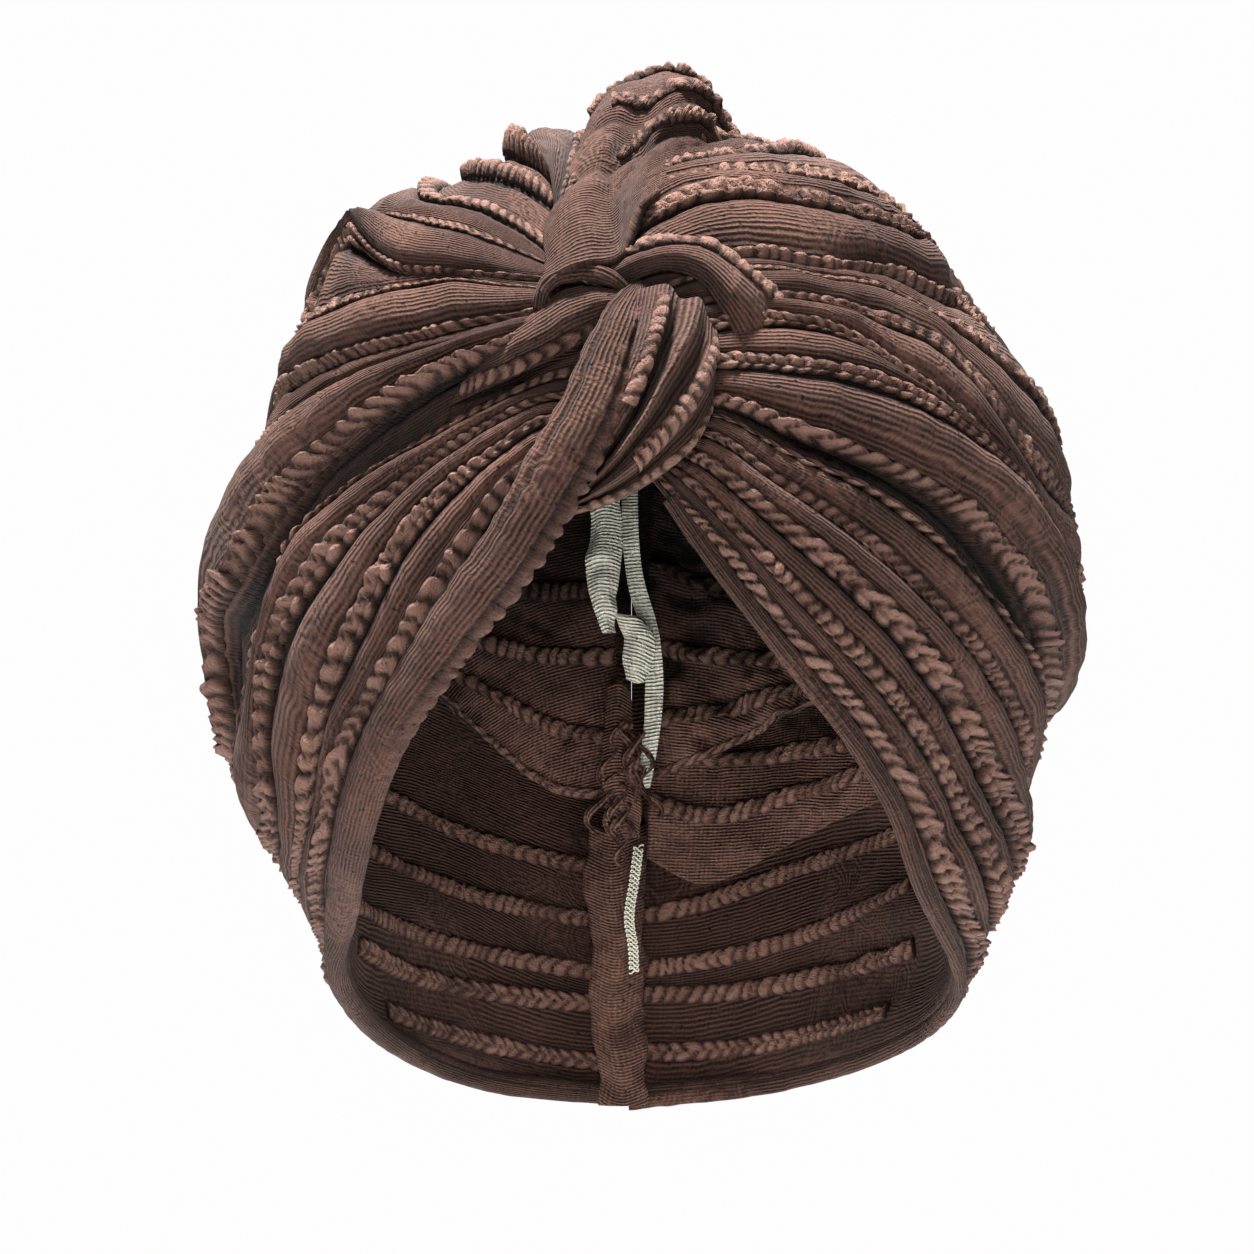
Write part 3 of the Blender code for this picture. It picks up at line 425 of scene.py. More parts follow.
# How far a puff's crease leans along the row, in puffs, from the middle to the edge.
SLANTS = {"leaf": 0.26, "braid": 0.5, "knob": 0.5}

# Across a ruffle row, from its upper edge to its lower one.
RUFFLE_ACROSS = np.array([-1.0, -0.93, -0.78, -0.52, -0.18, 0.18, 0.52, 0.78, 0.93, 1.0])
UNDER_ACROSS = np.array([0.75, -0.75])


def swell(x, middle, width):
    """1 at the middle and less on both sides of it, over about this width."""
    return np.exp(-(((x - middle) / width) ** 2))


def smooth_rows(keys, rows, at):
    """Rows of a table read at any key, on a smooth curve through them."""
    slopes = np.gradient(rows, keys, axis=0)
    at = np.clip(at, keys[0], keys[-1])
    i = np.clip(np.searchsorted(keys, at, side="right") - 1, 0, len(keys) - 2)
    wider = (...,) + (None,) * (rows.ndim - 1)
    step = (keys[i + 1] - keys[i])[wider]
    t = (at - keys[i])[wider] / step
    return (
        rows[i] * (1 + 2 * t) * (1 - t) ** 2
        + slopes[i] * step * t * (1 - t) ** 2
        + rows[i + 1] * t * t * (3 - 2 * t)
        + slopes[i + 1] * step * t * t * (t - 1)
    )


def through(points, count):
    """Evenly spaced places on a smooth curve through the points."""
    points = np.array(points, float)
    keys = np.concatenate([[0], np.cumsum(np.linalg.norm(np.diff(points, axis=0), axis=1) ** 0.75)])
    fine = smooth_rows(keys, points, np.linspace(0, keys[-1], 240))
    run = np.concatenate([[0], np.cumsum(np.linalg.norm(np.diff(fine, axis=0), axis=1))])
    at = np.linspace(0, run[-1], count)
    return np.stack([np.interp(at, run, fine[:, k]) for k in range(points.shape[1])], axis=1)


def half_sizes(z, right, back):
    found = smooth_rows(SECTIONS[:, 0], SECTIONS[:, 1:], z)
    return np.where(right, found[..., 1], found[..., 0]), np.where(back, found[..., 3], found[..., 2])


def envelope_value(p):
    """1 on the wrap's smooth surface, less inside it and more outside."""
    wide, deep = half_sizes(p[..., 2], p[..., 0] > 0, p[..., 1] > 0)
    above = np.maximum(p[..., 2] - SECTIONS[-1, 0], 0)
    return np.abs(p[..., 0] / wide) ** SECTION_POWER + np.abs(p[..., 1] / deep) ** SECTION_POWER + above


def seated(p):
    """Points moved to the wrap's surface along their rays from the middle of the head."""
    ray = p - HEAD_CENTRE
    low = np.full(p.shape[:-1], 0.4)
    high = np.full(p.shape[:-1], 1.8)
    for _ in range(SEATED_ROUNDS):
        middle = (low + high) / 2
        inside = envelope_value(HEAD_CENTRE + ray * middle[..., None]) < 1
        low = np.where(inside, middle, low)
        high = np.where(inside, high, middle)
    return HEAD_CENTRE + ray * high[..., None]


def outward(p):
    """The surface's direction at each point."""
    step = 0.5
    grad = [
        envelope_value(p + step * axis) - envelope_value(p - step * axis)
        for axis in np.eye(3)
    ]
    grad = np.stack(grad, axis=-1)
    return grad / np.linalg.norm(grad, axis=-1, keepdims=True)


def seen(x, z, back=False):
    """The place on the wrap's front, or on its back, that a front view shows at x, z."""
    way, y = (1, 90.0) if back else (-1, 0.0)
    for _ in range(SEEN_ROUNDS):
        scale = 1 + y / EYE_DISTANCE
        px, pz = x * scale, EYE_HEIGHT + (z - EYE_HEIGHT) * scale
        wide, deep = half_sizes(np.array(pz), px > 0, back)
        rest = max(1 - abs(px / wide) ** SECTION_POWER, 0)
        y = 0.5 * y + 0.5 * way * deep * rest ** (1 / SECTION_POWER)
    return np.array([px, float(y), pz])


def at_depth(x, z, y):
    """The place at depth y that a front view shows at x, z."""
    scale = 1 + y / EYE_DISTANCE
    return np.array([x * scale, y, EYE_HEIGHT + (z - EYE_HEIGHT) * scale])


def beyond(side, heights):
    """Places on the wrap at its side, its back quarter and its seam, at these heights."""
    found = []
    for height, share in zip(heights, BEYOND_SHARES):
        wide, deep = half_sizes(np.array(float(height)), side > 0, True)
        depth = deep * max(1 - share**SECTION_POWER, 0) ** (1 / SECTION_POWER)
        found.append(np.array([side * wide * share, float(depth), height]))
    return found


def seam_places():
    top = [np.array([x, y, MID_TOP_HEIGHT]) for x, y in MID_TOP]
    return [seen(x, z) for x, z in MID_FRONT] + top


def along(front, side, back, u):
    """A height that changes from the front over the side to the back of a line."""
    return np.interp(u, ROLL_SHARES, (front * CREST_KEPT[0], front * CREST_KEPT[1], front, side, back))


def kept_clear(grid, gap):
    """The first and last lines and both ends drawn in by a gap, or out where it is below zero."""
    grid = grid.copy()
    for edge, inner in ((0, 1), (-1, -2)):
        way = grid[inner] - grid[edge]
        grid[edge] += way / np.linalg.norm(way, axis=-1, keepdims=True) * gap
        way = grid[:, inner] - grid[:, edge]
        grid[:, edge] += way / np.linalg.norm(way, axis=-1, keepdims=True) * gap
    return grid


def knot_base(x, z):
    """Depth of the wrap's surface behind the knot."""
    bulge = KNOT_BULGE * swell(z, KNOT_HEIGHT, KNOT_SPREAD)
    return KNOT_DEPTH - bulge + KNOT_CURVE * x * x


def loop_base(x, z):
    """Depth of the wrap's surface behind the upper part of the knot."""
    return seen(x, z)[1] - LOOP_AHEAD


def value_noise(x, y, seed):
    """Smooth noise from -1 to 1 that changes over one unit of x or y."""
    cells = np.random.default_rng(seed).uniform(-1, 1, (64, 64))
    x0, y0 = np.floor(x).astype(int), np.floor(y).astype(int)
    fx, fy = x - x0, y - y0
    fx, fy = fx * fx * (3 - 2 * fx), fy * fy * (3 - 2 * fy)
    a = cells[x0 % 64, y0 % 64]
    b = cells[(x0 + 1) % 64, y0 % 64]
    c = cells[x0 % 64, (y0 + 1) % 64]
    d = cells[(x0 + 1) % 64, (y0 + 1) % 64]
    return (a * (1 - fx) + b * fx) * (1 - fy) + (c * (1 - fx) + d * fx) * fy


def unit(vectors):
    return vectors / np.maximum(np.linalg.norm(vectors, axis=-1, keepdims=True), 1e-9)


def through_at(points, shares):
    """Places at these shares of the length of a smooth curve through the points."""
    fine = through(points, 400)
    at = np.asarray(shares) * (len(fine) - 1)
    return np.stack([np.interp(at, np.arange(len(fine)), fine[:, k]) for k in range(fine.shape[1])], axis=1)


def puffs(run, c, width, kind, seed):
    """Puckered puffs along a ruffle row: height, sideways scallop and how open each place is, which sets the
    painted highlight on the puffs and the painted shade between them.

    run is millimetres along the row, c goes from -1 to 1 across it, and width is in millimetres.
    """
    size = np.clip(width / RUFFLE_WIDTH, 0.25, 1.2)
    slow = value_noise(run / 23, run * 0 + 0.3 * seed, seed + 5)
    pitch = PUFF_PITCH * np.clip(size, 0.72, 1.1) * (1 + 0.2 * slow)
    phase = np.cumsum(np.gradient(run, axis=-1) / pitch, axis=-1)
    phase = phase + 0.36 * value_noise(phase * 0.61, phase * 0, seed)
    slant = SLANTS[kind] * (1 + 0.5 * value_noise(phase * 0.23, phase * 0 + 5, seed + 6))
    if kind == "braid":
        turned = phase + 0.5 * (c > 0) + slant * np.abs(c)
    else:
        bow = 0.3 + 0.5 * value_noise(phase * 0.31, phase * 0 + 9, seed + 8)
        turned = phase + slant * c + bow * (1 - c * c)
    own = value_noise(np.floor(turned) * 0.73 + 0.4, np.floor(turned) * 0.37 + 7, seed + 1)
    part = turned - np.floor(turned)
    puff = np.sin(np.pi * part ** (0.7 + 0.16 * own)) ** 0.5
    across = np.clip(1 - np.abs(c) ** 3.4, 0, 1) ** 0.5
    if kind == "braid":
        across = across * (0.45 + 0.55 * np.clip(np.abs(c) * 3.2, 0, 1) ** 0.7)
    high = PUFF_HEIGHT * (1.3 if kind == "knob" else 1.0) * (1 - 0.25 * slow)
    height = high * size * across * (0.2 + 0.8 * puff) * (1 + 0.5 * own)
    crinkled = value_noise(phase * 3.3, c * 1.5 + own, seed + 2)
    crinkled = crinkled + 0.6 * value_noise(phase * 7.1, c * 2.6, seed + 3)
    height = height + 0.42 * size * across * crinkled
    scallop = np.sign(c) * np.abs(c) ** 2 * ((puff - 0.66) * 1.1 + 0.42 * own) * size
    return height, scallop, puff * (0.3 + 0.7 * across) * (1 + 0.25 * own)


def band_shares(gaps):
    """Share of each band's width that its ruffle row takes on either side."""
    third = gaps.shape[1] // 6
    middle = np.median(gaps[:, third:-third], axis=1)
    return np.clip(0.5 * RUFFLE_WIDTH / np.maximum(middle, 1), 0.12, 0.3)


def column_shares(count):
    """Stations along a wing, closer together on its front half."""
    even = np.linspace(0, 1, count)
    return even - 0.072 * np.sin(2 * np.pi * even)


def running(points):
    steps = np.linalg.norm(np.diff(points, axis=-2), axis=-1)
    return np.concatenate([np.zeros(steps.shape[:-1] + (1,)), np.cumsum(steps, axis=-1)], axis=-1)


def eased(grid):
    """Rounds off the step where the front half of the wrap meets its back half."""
    smooth = grid.copy()
    for _ in range(EASE_ROUNDS):
        smooth[:, 1:-1] = (smooth[:, :-2] + 2 * smooth[:, 1:-1] + smooth[:, 2:]) / 4
    share = swell(grid[..., 1:2], 0, EASE_REACH)
    return grid * (1 - share) + smooth * share


def wing_rows(side, crown, folds, rows_table, columns, ruffle_rows, body_rows):
    """The wing's cloth without its puffs, on a grid with rows at the edges of each ruffle row."""
    stations = column_shares(columns)
    lines, heights, names = [], [], []
    for name, path, crest, *rolls in crown:
        if path is None:
            places = seam_places()
        else:
            places = [np.array([x, y, CROWN_PATH_HEIGHT]) for x, y in path]
        lines.append(through_at(seated(np.array(places)), stations))
        heights.append((crest, *rolls))
        names.append(name)
    for name, front, at_side, quarter, seam, crest, *rolls in folds:
        places = [seen(x, z) for x, z in front] + beyond(side, (at_side, quarter, seam))
        lines.append(through_at(seated(np.array(places)), stations))
        heights.append((crest, *rolls))
        names.append(name)
    lines, heights = np.array(lines), np.array(heights)
    keys = np.arange(len(lines), dtype=float)
    gaps = np.linalg.norm(np.diff(lines, axis=0), axis=-1)
    shares = band_shares(gaps)
    at, band = [], []
    for k, s in enumerate(shares):
        shelf = np.linspace(0, s, ruffle_rows, endpoint=False)
        body = np.linspace(s, 1 - s, body_rows, endpoint=False)
        foot = 1 - np.linspace(s, 0, ruffle_rows, endpoint=False)
        at += [k + part for part in (*shelf, *body, *foot)]
        band += [k] * (2 * ruffle_rows + body_rows)
    at, band = np.array(at + [keys[-1]]), np.array(band + [len(lines) - 2])
    grid = eased(seated(smooth_rows(keys, lines, at)))
    normal = outward(grid)
    down = unit(np.gradient(grid, axis=0))
    part = at - band
    run = running(grid)
    fades = np.interp(stations, CREASE_SHARES, CREASE_KEPT)
    crest_fade = np.interp(stations, CREST_SHARES, CREST_KEPT)
    lift, slide, shade = (np.zeros(grid.shape[:2]) for _ in range(3))
    third = columns // 6
    nominal = np.median(gaps[:, third:-third], axis=1)
    start = np.concatenate([[0], np.cumsum(nominal)])
    for row, (k, q) in enumerate(zip(band, part)):
        crest = heights[k, 0] * (1 - q) + heights[k + 1, 0] * q
        roll = along(*heights[k, 1:], stations)
        shape = np.where(roll > 0, np.sin(np.pi * q**1.12) ** 0.62, np.sin(np.pi * q) ** 1.1)
        s, s_next = shares[k], shares[min(k + 1, len(shares) - 1)]
        crease, lap, *_ = rows_table[names[k]]
        crease_next, lap_next, *_ = rows_table[names[k + 1]]
        under = crease * swell(q, s + 0.06, 0.07)
        above = 0.5 * crease_next * swell(q, 0.97 - s_next, 0.05)
        lift[row] = (crest * crest_fade + roll * shape) * FOLD_GAIN - (under + above) * fades
        lap_here = lap * swell(q, 0, s * 0.9) if q < 0.5 else 0.0
        lap_end = lap_next * swell(q, 1, 0.3)
        tuck = 0.5 * lap * swell(q, s + 0.1, 0.08)
        slide[row] = (lap * (q == 0) or lap_here + lap_end - tuck) * fades
        # Painted shadow lines: a strong one just below each ruffle row and a weaker one just above the next
        # row
        shade[row] = 0.85 * swell(q, s, 0.06) + 0.4 * swell(q, 1 - s_next, 0.04)
    across = np.broadcast_to((start[band] + part * nominal[band])[:, None], run.shape)
    cloth = np.stack([run, across], axis=-1)
    width = gaps[band]
    body = np.clip(np.sin(np.pi * part) * 1.5, 0, 1)[:, None] * np.clip(width / 10, 0.2, 1)
    coarse = value_noise(cloth[..., 0] / 9, cloth[..., 1] / 6, 3)
    fine = value_noise(cloth[..., 0] / 3.4, cloth[..., 1] / 5, 4)
    lift += (0.6 * coarse + 0.25 * fine) * body
    grid = kept_clear(grid, SEAM_GAP)
    return dict(
        grid=grid, normal=normal, down=down, lift=lift, slide=slide, cloth=cloth, shade=shade,
        at=at, names=names, shares=shares, stations=stations,
    )


def sunk_places(lift, reach, depth):
    """How far each place lies under the places around it, from 0 to 1."""
    around = lift.copy()
    for _ in range(reach):
        around[1:-1] = (around[:-2] + around[1:-1] + around[2:]) / 3
    return np.clip((around - lift) / depth, 0, 1)


def inner_skin(grid, normal, lift, every_row, every_column, wall):
    """A calm skin on the inside of a wing, a wall's thickness under its lowest places nearby."""
    low = lift.copy()
    for _ in range(5):
        low[1:-1] = np.minimum(low[1:-1], np.minimum(low[:-2], low[2:]))
    for _ in range(8):
        low[1:-1] = (low[:-2] + low[1:-1] + low[2:]) / 3
        low[:, 1:-1] = (low[:, :-2] + low[:, 1:-1] + low[:, 2:]) / 3
    rows = np.unique(np.append(np.arange(0, grid.shape[0], every_row), grid.shape[0] - 1))
    columns = np.unique(np.append(np.arange(0, grid.shape[1], every_column), grid.shape[1] - 1))
    depth = np.minimum(low, lift.mean()) - wall
    pick = np.ix_(rows, columns)
    return grid[pick] + normal[pick] * depth[pick][..., None], rows, columns


def finer(rows, stations, fine_stations):
    """Rows of values read at finer stations."""
    flat = rows.reshape(rows.shape[0], rows.shape[1], -1)
    read = [[np.interp(fine_stations, stations, row[:, k]) for k in range(flat.shape[2])] for row in flat]
    return np.moveaxis(np.array(read), 1, 2).reshape(rows.shape[0], len(fine_stations), *rows.shape[2:])


def strip_on(shape, base, normal, down, c_at, width, kind, size, seed, gain=1.0):
    """A closed ruffle strip on a band of surface whose rows lie at c_at, from -1 to 1."""
    run = running(base[len(base) // 2])[None, :]
    widest = RUFFLE_WIDTH * 1.1 * size
    kept = np.minimum(1.0, widest / np.maximum(width, 0.1))
    top = np.array([read_across(base, c_at, c * kept) for c in RUFFLE_ACROSS])
    up = unit(np.array([read_across(normal, c_at, c * kept) for c in RUFFLE_ACROSS]))
    over = unit(np.array([read_across(down, c_at, c * kept) for c in RUFFLE_ACROSS]))
    c = RUFFLE_ACROSS[:, None]
    local = (np.minimum(width, widest) * size)[None, :]
    height, scallop, open_here = puffs(run + 0 * c, c + 0 * run, local + 0 * c, kind, seed)
    edge = EDGE_RAISED * np.clip(local / RUFFLE_WIDTH, 0.3, 1.2)
    top = top + up * (height * gain + edge)[..., None] + over * scallop[..., None]
    under = np.array([read_across(base, c_at, c * kept) for c in UNDER_ACROSS])
    under = under - unit(np.array([read_across(normal, c_at, c * kept) for c in UNDER_ACROSS])) * 0.6
    rings = np.moveaxis(np.concatenate([top, under]), 0, 1)
    across_mm = np.concatenate([RUFFLE_ACROSS, UNDER_ACROSS]) * 3
    cloth = np.stack(np.broadcast_arrays(run.T, across_mm[None, :]), axis=-1)
    # Painted highlight on the open tops of the puffs, painted shade between them and all over the strip's
    # underside
    raised = np.concatenate([open_here, np.full(under.shape[:2], 0.0)]).T
    painted_shade = np.concatenate([np.clip(1.0 - 1.25 * open_here, 0, 1), np.ones(under.shape[:2])]).T
    shape.rope(rings, cloth, raised, painted_shade)


def read_across(rows, c_at, c):
    """Each column's place at c, between the rows at c_at."""
    c = np.broadcast_to(c, rows.shape[1])
    i = np.clip(np.searchsorted(c_at, c, side="right") - 1, 0, len(c_at) - 2)
    t = ((c - c_at[i]) / (c_at[i + 1] - c_at[i]))[:, None]
    column = np.arange(rows.shape[1])
    return rows[i, column] * (1 - t) + rows[i + 1, column] * t


class Shape:
    """Points and faces of one mesh under construction, with cloth coordinates and the values that set its
    bumps, its painted highlight and its painted shade.
    """

    def __init__(self):
        self.points, self.faces, self.cloth, self.count = [], [], [], 0
        self.shades = {"raised": [], "painted_shade": [], "inside": []}

    def add(self, points, cloth, raised, painted_shade, inside):
        number = np.arange(len(points)) + self.count
        self.points.append(points)
        self.cloth.append(cloth)
        for name, value in (("raised", raised), ("painted_shade", painted_shade), ("inside", inside)):
            self.shades[name].append(np.broadcast_to(np.asarray(value, float), len(points)))
        self.count += len(points)
        return number

    def grid(self, points, cloth, raised=0.0, painted_shade=0.0, inside=0.0):
        size = points.shape[:2]
        shades = (raised, painted_shade, inside)
        flat = [np.broadcast_to(np.asarray(value, float), size).reshape(-1) for value in shades]
        number = self.add(points.reshape(-1, 3), cloth.reshape(-1, 2), *flat).reshape(size)
        quads = np.stack([number[:-1, :-1], number[1:, :-1], number[1:, 1:], number[:-1, 1:]], axis=-1)
        self.faces.extend(quads.reshape(-1, 4).tolist())
        return number

    def rope(self, rings, cloth, raised=0.0, painted_shade=0.0, inside=0.0):
        """A closed body from rings of points, with both ends capped."""
        number = self.grid(rings, cloth, raised, painted_shade, inside)
        for a, b, c, d in zip(number[:-1, -1], number[1:, -1], number[1:, 0], number[:-1, 0]):
            self.faces.append((int(a), int(b), int(c), int(d)))
        for ring, places in ((number[0], rings[0]), (number[-1], rings[-1])):
            # Half painted shade at the middle of each end cap
            middle = self.add(places.mean(axis=0)[None], cloth[0, :1], 0.0, 0.5, 0.0)[0]
            for a, b in zip(ring, np.roll(ring, -1)):
                self.faces.append((int(a), int(b), int(middle)))

    def zip(self, first, second):
        """Triangles between two edges that run side by side, whatever their counts."""
        i = j = 0
        while i < len(first) - 1 or j < len(second) - 1:
            ahead = (i + 1) / (len(first) - 1) <= (j + 1) / (len(second) - 1)
            if j == len(second) - 1 or (i < len(first) - 1 and ahead):
                self.faces.append((int(first[i]), int(first[i + 1]), int(second[j])))
                i += 1
            else:
                self.faces.append((int(first[i]), int(second[j + 1]), int(second[j])))
                j += 1

    def close(self, outer, inner):
        """The rim between two grids whose edges run side by side."""
        for a, b in (
            (outer[0], inner[0]),
            (outer[:, -1], inner[:, -1]),
            (outer[-1, ::-1], inner[-1, ::-1]),
            (outer[::-1, 0], inner[::-1, 0]),
        ):
            self.zip(a, b)

    def dim_upwards(self):
        """Painted shade on the cloth that hangs high up inside, darker higher up where less light reaches.
        """
        high = np.concatenate(self.points)[:, 2]
        self.shades["inside"] = [np.interp(high, DIM_HEIGHTS, DIM_SHARES)]

    def make(self, name, paint, slot, *nodes):
        mesh = bpy.data.meshes.new(name)
        points = np.concatenate(self.points) * MM
        mesh.from_pydata(points.tolist(), [], self.faces)
        shape = bmesh.new()
        shape.from_mesh(mesh)
        bmesh.ops.recalc_face_normals(shape, faces=shape.faces)
        shape.to_mesh(mesh)
        shape.free()
        mesh.shade_smooth()
        cloth = np.concatenate(self.cloth)
        layer = mesh.uv_layers.new(name="cloth")
        corner = np.empty(len(mesh.loops), dtype=np.int64)
        mesh.loops.foreach_get("vertex_index", corner)
        layer.data.foreach_set("uv", (cloth[corner] * UV_PER_MM).reshape(-1))
        for title, values in self.shades.items():
            attribute = mesh.attributes.new(title, "FLOAT", "POINT")
            attribute.data.foreach_set("value", np.concatenate(values).astype(np.float32))
        mesh.materials.append(paint)
        obj = bpy.data.objects.new(name, mesh)
        bpy.context.scene.collection.objects.link(obj)
        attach(obj, "root")
        if nodes:
            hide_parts(*nodes)
        return obj


def make_wing(name, side, crown, folds, table, paint):
    """A wing's cloth, and its puckered rows as two more pieces that are sewn on to it."""
    w = wing_rows(side, crown, folds, table, WING_COLUMNS, RUFFLE_ROWS, BODY_ROWS)
    points = w["grid"] + w["normal"] * w["lift"][..., None] + w["down"] * w["slide"][..., None]
    # Painted shade: darker where the cloth lies below its neighbours and along the painted shadow lines of
    # the rows
    painted_shade = np.clip(sunk_places(w["lift"], 24, 1.7) + w["shade"], 0, 1)
    inner, rows, columns = inner_skin(w["grid"], w["normal"], w["lift"], INNER_STEP, INNER_STEP, INNER_WALL)
    pick = np.ix_(rows, columns)
    shape = Shape()
    outside = shape.grid(points, w["cloth"], 0.0, painted_shade)
    # Painted shade on the wing's inner skin, darker higher up
    dim = np.interp(inner[..., 2], DIM_HEIGHTS, DIM_SHARES)
    within = shape.grid(inner, w["cloth"][pick], 0.0, 0.0, dim)
    shape.close(outside, within)
    cloth = shape.make(name + "_cloth", paint, "turban_cloth", name)

    fine = column_shares(STRIP_COLUMNS)
    made_pieces = []
    names = [n for n in w["names"] if table[n][2] != "plain"]
    half = (len(names) + 1) // 2
    for piece, group in (("upper", names[:half]), ("lower", names[half:])):
        shape = Shape()
        for line in group:
            k = w["names"].index(line)
            before = w["shares"][k - 1] if k else 0.0
            after = w["shares"][k]
            low, high = k - before - 1e-6, k + after + 1e-6
            chosen = np.flatnonzero((w["at"] >= low) & (w["at"] <= high))
            places = w["at"][chosen] - k
            c_at = np.where(places < 0, places / max(before, 1e-6), places / after)
            if k == 0:
                c_at = c_at * 2 - 1
            base = finer(points[chosen], w["stations"], fine)
            normal = finer(w["normal"][chosen], w["stations"], fine)
            down = finer(w["down"][chosen], w["stations"], fine)
            width = np.linalg.norm(base[-1] - base[0], axis=-1)
            _, _, kind, size = table[line]
            strip_on(shape, base, normal, down, c_at, width, kind, size, 11 * k + (5 if side > 0 else 90))
        made_pieces.append(shape.make(name + "_" + piece + "_ruffles", paint, "turban_cloth", name))
    return [cloth, *made_pieces], (inner, w["normal"][pick])


def join(tree, output, target):
    tree.links.new(output, target)


def put(tree, socket, value):
    """Sets a node's input to a number or links it to another node's output."""
    if isinstance(value, (int, float)):
        socket.default_value = value
    elif isinstance(value, tuple):
        socket.default_value = value
    else:
        tree.links.new(value, socket)


def math_node(tree, operation, a, b=0.0, c=0.0):
    node = tree.nodes.new("ShaderNodeMath")
    node.operation = operation
    for socket, value in zip(node.inputs, (a, b, c)):
        put(tree, socket, value)
    return node.outputs[0]


def noise_node(tree, vector, scale, detail=2.0, rough=0.5):
    node = tree.nodes.new("ShaderNodeTexNoise")
    put(tree, node.inputs["Vector"], vector)
    put(tree, node.inputs["Scale"], scale)
    put(tree, node.inputs["Detail"], detail)
    put(tree, node.inputs["Roughness"], rough)
    return node.outputs["Fac"]


def range_node(tree, value, low, high, to_low=0.0, to_high=1.0):
    node = tree.nodes.new("ShaderNodeMapRange")
    node.interpolation_type = "SMOOTHSTEP"
    for socket, item in zip(node.inputs, (value, low, high, to_low, to_high)):
        put(tree, socket, item)
    return node.outputs[0]


def mix_node(tree, share, first, second, blend="MIX"):
    node = tree.nodes.new("ShaderNodeMix")
    node.data_type = "RGBA"
    node.blend_type = blend
    put(tree, node.inputs[0], share)
    put(tree, node.inputs[6], first)
    put(tree, node.inputs[7], second)
    return node.outputs[2]


def attribute_node(tree, name):
    node = tree.nodes.new("ShaderNodeAttribute")
    node.attribute_name = name
    return node.outputs["Fac"]


